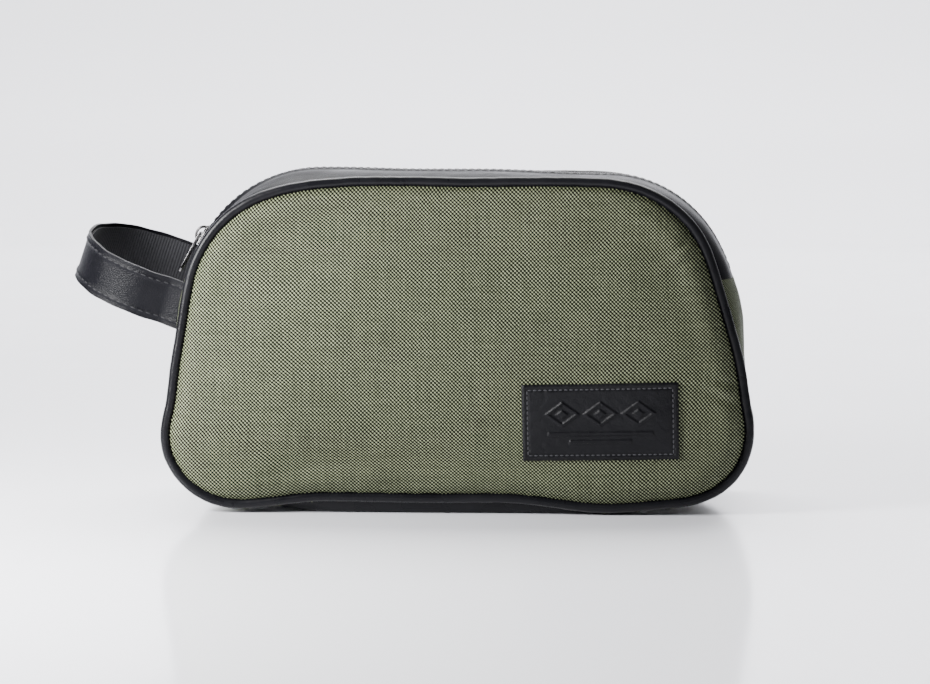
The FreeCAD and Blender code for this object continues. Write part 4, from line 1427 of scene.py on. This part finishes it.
def gusset_frame(step: float, y: float, lift: float) -> Matrix:
    """The frame on the gusset at a place: X along it, Z out of the bag.

    Args:
        step: The place along the outlines.
        y: The place across the bag.
        lift: How far outside the surface.

    Returns:
        The frame as a matrix.
    """
    here = gusset(np.array([step - 0.004, step + 0.004, step, step]),
                  np.array([y, y, y - 0.2 * MM, y + 0.2 * MM]), lift)
    here = settle(here)
    along = Vector(here[1] - here[0]).normalized()
    across = Vector(here[3] - here[2])
    across = (across - along * across.dot(along)).normalized()
    out = along.cross(across)
    centre = Vector((here[2] + here[3]) / 2)
    if out.dot(centre - Vector((0, y, MIDDLE.z))) < 0.0:
        across, out = -across, -out
    return frame_of(centre, along, across, out)


def frame_of(centre: Vector, along: Vector, across: Vector, out: Vector) -> Matrix:
    """A frame from its origin and its three axes.

    Args:
        centre: The origin.
        along: The X axis.
        across: The Y axis.
        out: The Z axis.

    Returns:
        The frame as a matrix.
    """
    made = Matrix((along, across, out)).transposed().to_4x4()
    made.translation = centre
    return made


Corner = tuple[float, float, float]


@dataclass
class Slider:
    """The zip's slider with its bail, and the pull tab that hangs in it."""

    angle: float = math.radians(28.5)
    length: float = 9.0 * MM
    width: float = 9.4 * MM
    plate: float = 1.0 * MM
    top_z: float = 1.1 * MM
    bottom_z: float = -2.4 * MM
    bail_radius: float = 3.6 * MM
    bail_bar: float = 1.1 * MM
    pull_length: float = 19.0 * MM
    pull_width: float = 5.6 * MM
    pull_bar: float = 1.1 * MM
    pull_rise: float = 1.1 * MM
    pull_thickness: float = 1.1 * MM
    stop_share: float = 3.2 / 77.7

    def frame(self) -> Matrix:
        """The slider's frame: origin on the gusset's crown, X up along the zip, Z outwards.

        Returns:
            The frame as a matrix.
        """
        centre_x, centre_z = ZIP_LINE.shoulder
        reach = ZIP_LINE.shoulder_radius + CROWN
        out = Vector((-math.cos(self.angle), 0.0, math.sin(self.angle)))
        along = Vector((math.sin(self.angle), 0.0, math.cos(self.angle)))
        centre = Vector((-centre_x, 0.0, centre_z)) + out * reach
        return frame_of(centre, along, out.cross(along), out)

    def block(self, name: str, low: Corner, high: Corner, bevel: float) -> bpy.types.Object:
        """A block with rounded edges between two corners.

        Args:
            name: The object's name.
            low: The lowest corner.
            high: The highest corner.
            bevel: How far its edges are rounded.

        Returns:
            The block.
        """
        centre = [(a + b) / 2 for a, b in zip(low, high)]
        size = [b - a for a, b in zip(low, high)]
        bpy.ops.object.select_all(action="DESELECT")
        bpy.ops.mesh.primitive_cube_add(size=1.0)
        obj = added(name)
        obj.data.transform(Matrix.Translation(centre) @ Matrix.Diagonal((*size, 1.0)))
        edit(obj)
        bpy.ops.mesh.bevel(offset=bevel, segments=3, affect="EDGES")
        done()
        return obj

    def make_casting(self, finishes: Finishes) -> None:
        """Builds the two plates, the flanges, the divider and the bail.

        Args:
            finishes: The bag's finishes.
        """
        half, wide = self.length / 2, self.width / 2
        top = self.top_z + self.plate
        parts = [
            self.block("top_plate", (-half, -wide, self.top_z), (half, wide, top), 0.42 * MM),
            self.block("bottom_plate", (-half, -wide, self.bottom_z - self.plate),
                       (half, wide, self.bottom_z), 0.3 * MM),
            self.block("divider", (-half + 0.6 * MM, -0.6 * MM, self.bottom_z),
                       (-half + 3.1 * MM, 0.6 * MM, self.top_z), 0.15 * MM),
        ]
        for sign in (-1, 1):
            inner, outer = sorted((sign * (wide - 0.8 * MM), sign * wide))
            parts.append(self.block("flange", (-half + 0.4 * MM, inner, -0.8 * MM),
                                    (half - 0.4 * MM, outer, self.top_z + 0.4 * MM), 0.22 * MM))
        plan = read_points(parts[0])
        nose = np.clip((plan[:, 0] - 0.2 * half) / (0.8 * half), 0.0, 1.0)
        plan[:, 1] *= 1.0 - 0.26 * nose ** 2
        write_points(parts[0], plan)
        bpy.ops.object.select_all(action="DESELECT")
        bpy.ops.mesh.primitive_torus_add(major_segments=40, minor_segments=12,
                                         major_radius=self.bail_radius - self.bail_bar / 2,
                                         minor_radius=self.bail_bar / 2)
        bail = added("bail")
        upright = Matrix.Rotation(math.pi / 2, 4, "X")
        oval = Matrix.Diagonal((1.15, 1.5, 1.0, 1.0))
        bail.data.transform(Matrix.Translation((0, 0, top - 0.3 * MM)) @ oval @ upright)
        edit(bail)
        bpy.ops.mesh.bisect(plane_co=(0, 0, top - 0.5 * MM), plane_no=(0, 0, 1), clear_inner=True,
                            use_fill=True)
        done()
        parts.append(bail)
        obj = self.unite(parts, "slider_body")
        obj.data.transform(self.frame())
        smooth(obj, 35.0)
        dress(obj, finishes.metal)
        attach(obj, "zip_slider")
        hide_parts("zip_slider")
        LOG.info("%s: %d faces", obj.name, len(obj.data.polygons))

    def unite(self, parts: list[bpy.types.Object], name: str) -> bpy.types.Object:
        """Joins objects into one piece of several closed shells.

        Args:
            parts: The objects.
            name: The piece's name.

        Returns:
            The joined piece.
        """
        bpy.ops.object.select_all(action="DESELECT")
        for part in parts:
            part.select_set(True)
        bpy.context.view_layer.objects.active = parts[0]
        bpy.ops.object.join()
        return added(name)

    def make_pull(self, finishes: Finishes) -> None:
        """Builds the pull tab with its eye and its grip slot.

        Args:
            finishes: The bag's finishes.
        """
        bpy.ops.object.select_all(action="DESELECT")
        bpy.ops.mesh.primitive_grid_add(x_subdivisions=19, y_subdivisions=6, size=1.0)
        obj = added("pull_tab")
        half = self.pull_width / 2
        points = read_points(obj)
        rows = np.array([-half, -0.62 * half, -0.4 * half, 0.0, 0.4 * half, 0.62 * half, half])
        x = -self.pull_length + (self.pull_length + self.pull_bar / 2) * (points[:, 0] + 0.5)
        y = rows[np.rint((points[:, 1] + 0.5) * 6).astype(int)]
        taper = 1.0 - 0.22 * bump(x, -7.5 * MM, 4 * MM) + 0.06 * bump(x, -15 * MM, 3 * MM)
        end = np.clip((-self.pull_length + 2.0 * MM - x) / (2.0 * MM), 0.0, 1.0)
        y = y * taper * (1.0 - 0.25 * end ** 2)
        write_points(obj, np.stack([x, y, np.zeros_like(x)], -1))
        edit(obj)
        bpy.ops.mesh.select_all(action="DESELECT")
        done()
        for face in obj.data.polygons:
            inner = abs(face.center.y) < 0.45 * half
            eye = -4.1 * MM < face.center.x < -0.5 * MM
            grip = -16.2 * MM < face.center.x < -10.0 * MM
            face.select = inner and (eye or grip)
        pick(obj)
        bpy.ops.object.mode_set(mode="EDIT")
        bpy.ops.mesh.delete(type="FACE")
        done()
        thicken(obj, self.pull_thickness)
        finish_modifier(obj, "BEVEL", width=0.22 * MM, segments=3, limit_method="ANGLE",
                        angle_limit=math.radians(40.0))
        rise = self.top_z + self.plate + self.pull_rise + self.pull_thickness / 2
        obj.data.transform(self.frame() @ Matrix.Translation((0, 0, rise)))
        smooth(obj, 35.0)
        dress(obj, finishes.metal)
        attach(obj, "zip_pull")
        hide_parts("zip_pull")
        LOG.info("%s: %d faces", obj.name, len(obj.data.polygons))

    def make_stops(self, finishes: Finishes) -> None:
        """Builds the two crimped stops across the zip's ends.

        Args:
            finishes: The bag's finishes.
        """
        parts = []
        for step in (7.0 - self.stop_share, 3.0 + self.stop_share):
            part = self.block("stop", (-1.0 * MM, -3.8 * MM, -1.5 * MM), (1.0 * MM, 3.8 * MM, 0.6 * MM),
                              0.45 * MM)
            part.data.transform(gusset_frame(step, 0.0, 0.0))
            parts.append(part)
        obj = self.unite(parts, "end_stops")
        smooth(obj, 35.0)
        dress(obj, finishes.metal)
        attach(obj, "root")
        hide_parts("zip_end_stops")
        LOG.info("%s: %d faces", obj.name, len(obj.data.polygons))

    def build(self, finishes: Finishes) -> None:
        """Builds the slider, the pull and the stops.

        Args:
            finishes: The bag's finishes.
        """
        self.make_casting(finishes)
        self.make_pull(finishes)
        self.make_stops(finishes)


@dataclass
class LabelPatch:
    """The stitched leather label, pressed with three lozenges above two bars."""

    panel: bpy.types.Object
    width: float = 65.6 * MM
    height: float = 32.6 * MM
    centre: tuple[float, float] = (60.2 * MM, 41.0 * MM)
    turn: float = math.radians(1.0)
    thickness: float = 1.3 * MM
    stitch_inset: float = 2.3 * MM
    stitch_pitch: float = 2.2 * MM
    mark_height: float = 0.55 * MM
    groove: float = 0.35 * MM
    rolled_edge: float = 0.75 * MM

    def surface(self, x: float, z: float) -> float:
        """The panel's outer surface at a place, as its y."""
        hit, where, _, _ = self.panel.ray_cast(Vector((x, -0.2, z)), Vector((0, 1, 0)))
        return where.y if hit else -50.0 * MM

    def place(self, across: np.ndarray, up: np.ndarray) -> tuple[np.ndarray, np.ndarray]:
        """Turns places on the label into places on the bag.

        Args:
            across: Places along the label, from its middle.
            up: Places up the label, from its middle.

        Returns:
            The x and z of each place.
        """
        x = self.centre[0] + across * math.cos(self.turn) - up * math.sin(self.turn)
        z = self.centre[1] + across * math.sin(self.turn) + up * math.cos(self.turn)
        return x, z

    def pressed(self, across: np.ndarray, up: np.ndarray) -> np.ndarray:
        """How high the three lozenges, the two bars and the border stand at each place.

        Args:
            across: Places along the label, from its middle.
            up: Places up the label, from its middle.

        Returns:
            The height above the plain leather.
        """
        soft = 0.28 * MM

        def stroke(distance: np.ndarray, width: float) -> np.ndarray:
            """A soft-edged line where a distance is under half a width."""
            return 1.0 - smoothstep(np.abs(distance), width / 2 - soft, width / 2 + soft)

        mark = np.zeros_like(across)
        for middle in (-16.0, 0.0, 16.0):
            lozenge = np.abs(across - middle * MM) / (6.4 * MM) + np.abs(up - 3.6 * MM) / (4.6 * MM)
            ring = stroke((lozenge - 1.0) * 3.7 * MM, 1.1 * MM)
            mark = np.maximum(np.maximum(ring, mark), 1.0 - smoothstep(lozenge, 0.3, 0.5))
        for level, reach in ((-4.8, 22.0), (-8.2, 13.0)):
            ends = 1.0 - smoothstep(np.abs(across), reach * MM - soft, reach * MM + soft)
            mark = np.maximum(mark, stroke(up - level * MM, 1.5 * MM) * ends)
        edge = np.minimum(self.width / 2 - np.abs(across), self.height / 2 - np.abs(up))
        border = -self.groove * bump(edge, self.stitch_inset, 0.55 * MM)
        roll = -self.rolled_edge * (1.0 - smoothstep(edge, 0.0, 1.0 * MM)) ** 2
        return self.mark_height * mark + border + roll

    def build(self, finishes: Finishes) -> None:
        """Builds the label and its stitches.

        Args:
            finishes: The bag's finishes.
        """
        obj, u, v = grid("leather_label", 200, 100)
        across, up = (u - 0.5) * self.width, (v - 0.5) * self.height
        x, z = self.place(across, up)
        base = np.array([self.surface(a, b) for a, b in zip(x, z)])
        y = base - self.thickness - self.pressed(across, up)
        write_points(obj, np.stack([x, y, z], -1))
        write_uv(obj, np.stack([across, up], -1))
        face_outwards(obj)
        thicken(obj, self.thickness + 0.6 * MM)
        smooth(obj, 50.0)
        dress(obj, finishes.patch)
        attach(obj, "root")
        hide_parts("label_patch")
        LOG.info("%s: %d faces", obj.name, len(obj.data.polygons))
        self.make_stitches(finishes)

    def make_stitches(self, finishes: Finishes) -> None:
        """Builds the thread round the label's border.

        Args:
            finishes: The bag's finishes.
        """
        half_w, half_h = self.width / 2 - self.stitch_inset, self.height / 2 - self.stitch_inset
        places = []
        corners = [(-half_w, -half_h), (half_w, -half_h), (half_w, half_h), (-half_w, half_h)]
        for start, end in zip(corners, corners[1:] + corners[:1]):
            run = math.hypot(end[0] - start[0], end[1] - start[1])
            count = round(run / self.stitch_pitch)
            for n in range(count):
                share = (n + 0.5) / count
                across = start[0] + (end[0] - start[0]) * share
                up = start[1] + (end[1] - start[1]) * share
                x, z = self.place(np.array(across), np.array(up))
                along = Vector((end[0] - start[0], 0.0, end[1] - start[1])).normalized()
                along = Matrix.Rotation(-self.turn, 3, "Y") @ along
                out = Vector((0.0, -1.0, 0.0))
                y = self.surface(float(x), float(z)) - self.thickness + 0.12 * MM
                places.append(frame_of(Vector((x, y, z)), along, out.cross(along), out))
        obj = copies(stitch("label_stitch", 1.6 * MM, 0.6 * MM), places, "label_stitches")
        dress(obj, finishes.label_thread)
        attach(obj, "root")
        LOG.info("%s: %d stitches", obj.name, len(places))


@dataclass
class SideStrap:
    """The strap loop: a leather face folded over webbing, sewn into the seams at the left."""

    width: float = 20.0 * MM
    half_spacing: float = 37.5 * MM
    reach: float = 38.4 * MM
    bend: float = 34.0 * MM
    tucked: float = 15.5 * MM
    leather: float = 1.2 * MM
    webbing: float = 1.0 * MM
    tilt: float = math.radians(19.0)
    roll: float = math.radians(4.6)
    centre: Vector = Vector((-131.04 * MM, 0.0, 93.09 * MM))
    inside: Vector = Vector((8.0 * MM, 0.0, 0.0))
    climb: tuple[float, float] = (2.0 * MM, 4.6 * MM)
    bend_start: float = -13.0 * MM
    bend_end: float = 7.0 * MM
    groove: float = 0.28 * MM
    stitch_inset: float = 2.6 * MM
    stitch_pitch: float = 3.4 * MM
    webbing_cut: Cut = Cut(17.6 * MM, 149.8 * MM)

    def frame(self) -> Matrix:
        """The strap's frame: X out of the bag, Y towards the front and Z across its width.

        Returns:
            The frame as a matrix.
        """
        turn = (Matrix.Rotation(self.roll, 4, "X") @ Matrix.Rotation(self.tilt, 4, "Y")
                @ Matrix.Rotation(math.pi, 4, "Z"))
        return Matrix.Translation(self.centre) @ turn

    def path(self, share: np.ndarray, inset: float) -> tuple[np.ndarray, np.ndarray, np.ndarray]:
        """The line of the loop from its front end round to its rear end.

        Args:
            share: Shares of its length, from 0 to 1.
            inset: How far inside the outer face.

        Returns:
            The frame's x and y of each place, and its length along the strap.
        """
        side, radius, tip = self.half_spacing - inset, self.bend - inset, self.reach - inset
        leg = self.reach - self.bend + self.tucked
        arc = radius * math.pi / 2
        flat = 2.0 * (self.half_spacing - self.bend)
        total = 2.0 * leg + 2.0 * arc + flat
        length = share * total
        back = np.minimum(length, total - length)
        turn = np.clip((back - leg) / radius, 0.0, math.pi / 2)
        x = np.where(back < leg, back - self.tucked, tip - radius + radius * np.sin(turn))
        y = side - radius + radius * np.cos(turn) - np.maximum(back - leg - arc, 0.0)
        tuck = 2.2 * MM * smoothstep(-x, 4 * MM, self.tucked)
        sign = np.where(length < total / 2, 1.0, -1.0)
        return x, sign * (y + tuck), length

    def drift(self, length: np.ndarray) -> np.ndarray:
        """How far the strap climbs towards its rear end at each length, with a slight sway.

        Args:
            length: Lengths along the strap.

        Returns:
            The climb at each length.
        """
        total = self.path(np.array([1.0]), 0.0)[2][0]
        climb = self.climb[0] + self.climb[1] * smoothstep(length / total, 0.08, 0.8)
        return climb + 0.4 * MM * ripple(length, 60 * MM, 0.4)

    def lay(self, name: str, inset: float, width: float, crown: float) -> bpy.types.Object:
        """Lays one layer of the strap.

        Args:
            name: The piece's name.
            inset: How far inside the outer face it lies.
            width: Its width.
            crown: How much its middle stands out over its edges.

        Returns:
            The open strip.
        """
        obj, u, v = grid(name, 220, 60)
        x, y, length = self.path(u, inset)
        across = (v - 0.5) * width
        step = 1e-4
        ahead = self.path(np.minimum(u + step, 1), inset)
        behind = self.path(np.maximum(u - step, 0), inset)
        dx, dy = ahead[0] - behind[0], ahead[1] - behind[1]
        size = np.hypot(dx, dy)
        rise = crown * (1.0 - (2.0 * np.abs(across) / width) ** 4)
        if crown:
            rise = rise - self.groove * bump(np.abs(across), width / 2 - self.stitch_inset, 0.7 * MM)
        points = np.stack([x + rise * dy / size, y - rise * dx / size, across + self.drift(length)], -1)
        write_points(obj, points)
        write_uv(obj, np.stack([length, across], -1))
        return obj

    def settle_in(self, obj: bpy.types.Object, slot: Slot, finish: bpy.types.Material, *nodes: str) -> None:
        """Places a layer on the bag, gives it its material and hides the CAD nodes that it stands for.

        Args:
            obj: The piece, in the strap's frame.
            slot: The record's slot; not used.
            finish: Its material.
            *nodes: The CAD nodes that it stands for.
        """
        obj.data.transform(self.frame())
        dress(obj, finish)
        start = self.frame() @ Vector((self.bend_start, 0, 0))
        end = self.frame() @ Vector((self.bend_end, 0, 0))
        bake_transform(obj)
        if nodes:
            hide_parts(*nodes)
        LOG.info("%s: %d faces", obj.name, len(obj.data.polygons))

    def build(self, finishes: Finishes) -> None:
        """Builds the leather face, the webbing and the two lines of stitches.

        Args:
            finishes: The bag's finishes.
        """
        face = self.lay("strap_outer_leather", 0.0, self.width, 0.35 * MM)
        face_outwards(face, self.inside)
        thicken(face, self.leather)
        finish_modifier(face, "BEVEL", width=0.35 * MM, segments=3, limit_method="ANGLE",
                        angle_limit=math.radians(50.0))
        smooth(face, 50.0)
        self.settle_in(face, Slot.STRAP, finishes.strap, "strap_face", "strap_end_front", "strap_end_rear")
        inner = self.lay("strap_inner_webbing", self.leather, self.width - 2.4 * MM, 0.0)
        face_outwards(inner, self.inside)
        thicken(inner, self.webbing)
        smooth(inner, 50.0)
        self.settle_in(inner, Slot.WEBBING, finishes.webbing, "strap_lining")
        self.webbing_cut.declare(inner, face.name)
        self.make_stitches(finishes)

    def make_stitches(self, finishes: Finishes) -> None:
        """Builds the stitches near both edges of the strap.

        Args:
            finishes: The bag's finishes.
        """
        total = self.path(np.array([1.0]), 0.0)[2][0]
        count = int(total / self.stitch_pitch)
        places = []
        for n in range(count):
            share = (n + 0.5) / count
            x, y, length = self.path(np.array([share - 0.003, share + 0.003]), 0.0)
            along = Vector((x[1] - x[0], y[1] - y[0], 0.0)).normalized()
            out = Vector((along.y, -along.x, 0.0))
            middle = Vector((x.mean(), y.mean(), 0.0))
            if out.dot(middle - self.inside) < 0.0:
                out = -out
            sway = float(self.drift(length.mean()))
            for edge in (-1, 1):
                across = edge * (self.width / 2 - self.stitch_inset) + sway
                centre = middle + out * 0.05 * MM + Vector((0, 0, across))
                places.append(frame_of(centre, along, out.cross(along), out))
        obj = copies(stitch("strap_stitch", 2.3 * MM, 0.6 * MM), places, "strap_stitches")
        self.settle_in(obj, Slot.STRAP, finishes.thread)


@dataclass
class Studio:
    """A pale floor that curves up behind the bag, soft lights and the camera."""

    distance: float = 1.30
    azimuth: float = math.radians(2.8)
    elevation: float = math.radians(5.0)
    aim: Vector = Vector((3.2 * MM, -50.0 * MM, 74.2 * MM))
    frame_width: float = 390.8 * MM
    sensor: float = 36.0

    def make_floor(self) -> None:
        """Lays the floor and the backdrop as one curved sheet."""
        obj, u, v = grid("studio_sweep", 8, 60)
        along = (v - 0.35) * 8.0
        bend = np.clip(along - 2.0, 0.0, math.pi / 2)
        y = np.where(along < 2.0, along, 2.0 + np.sin(bend))
        z = np.where(along < 2.0, 0.0, 1.0 - np.cos(bend)) + np.maximum(along - 2.0 - math.pi / 2, 0.0)
        write_points(obj, np.stack([(u - 0.5) * 9.0, y, z], -1))
        smooth(obj, 80.0)
        dress(obj, StudioFloor().make())

    def add_light(self, name: str, place: tuple[float, float, float], size: tuple[float, float],
                  power: float, aim: Vector) -> None:
        """Adds a soft rectangular light.

        Args:
            name: Its name.
            place: Where it stands.
            size: Its width and height.
            power: Its power in watts.
            aim: What it points at.
        """
        light = bpy.data.lights.new(name, "AREA")
        light.shape = "RECTANGLE"
        light.size, light.size_y = size
        light.energy = power
        obj = bpy.data.objects.new(name, light)
        obj.location = place
        obj.rotation_euler = (aim - Vector(place)).to_track_quat("-Z", "Y").to_euler()
        obj.visible_camera = False
        bpy.context.scene.collection.objects.link(obj)

    def build(self) -> None:
        """Builds the floor, the lights, the sky and the camera."""
        self.make_floor()
        middle = Vector((0, 0, 0.07))
        self.add_light("key", (-0.43, -0.31, 0.27), (0.2, 0.3), 14.0, middle)
        self.add_light("overhead", (0.0, 1.5, 2.3), (2.8, 2.0), 250.0, Vector((0.0, 1.2, 0.0)))
        world = bpy.data.worlds.new("studio_light")
        world.use_nodes = True
        world.node_tree.nodes["Background"].inputs[0].default_value = (0.97, 0.98, 1.0, 1.0)
        world.node_tree.nodes["Background"].inputs[1].default_value = 0.25
        bpy.context.scene.world = world
        camera = bpy.data.cameras.new("photo_view")
        camera.sensor_width = self.sensor
        camera.lens = self.sensor * self.distance / self.frame_width
        camera.clip_start = 0.05
        out = Vector((math.sin(self.azimuth) * math.cos(self.elevation),
                      -math.cos(self.azimuth) * math.cos(self.elevation), math.sin(self.elevation)))
        obj = bpy.data.objects.new("photo_view", camera)
        obj.location = self.aim + out * self.distance
        obj.rotation_euler = (-out).to_track_quat("-Z", "Y").to_euler()
        bpy.context.scene.collection.objects.link(obj)
        bpy.context.scene.camera = obj


def dress_frame(finishes: Finishes) -> None:
    """Gives the CAD nodes that stay their finishes."""
    dress(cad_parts["base_board"], finishes.trim)


def main() -> None:
    """Builds the bag, piece by piece, and the studio round it."""
    logging.basicConfig(level=logging.INFO, format="%(message)s")
    finishes = Finishes()
    front = ClothPanel(Side.FRONT).build(finishes)
    ClothPanel(Side.REAR).build(finishes)
    for side in Side:
        Piping(side).build(finishes)
        ZipSide(side).build(finishes)
    SideGusset(left=True).build(finishes)
    SideGusset(left=False).build(finishes)
    Base().build(finishes)
    Slider().build(finishes)
    LabelPatch(front).build(finishes)
    SideStrap().build(finishes)
    dress_frame(finishes)
    Studio().build()


if __name__ == "__main__":
    main()
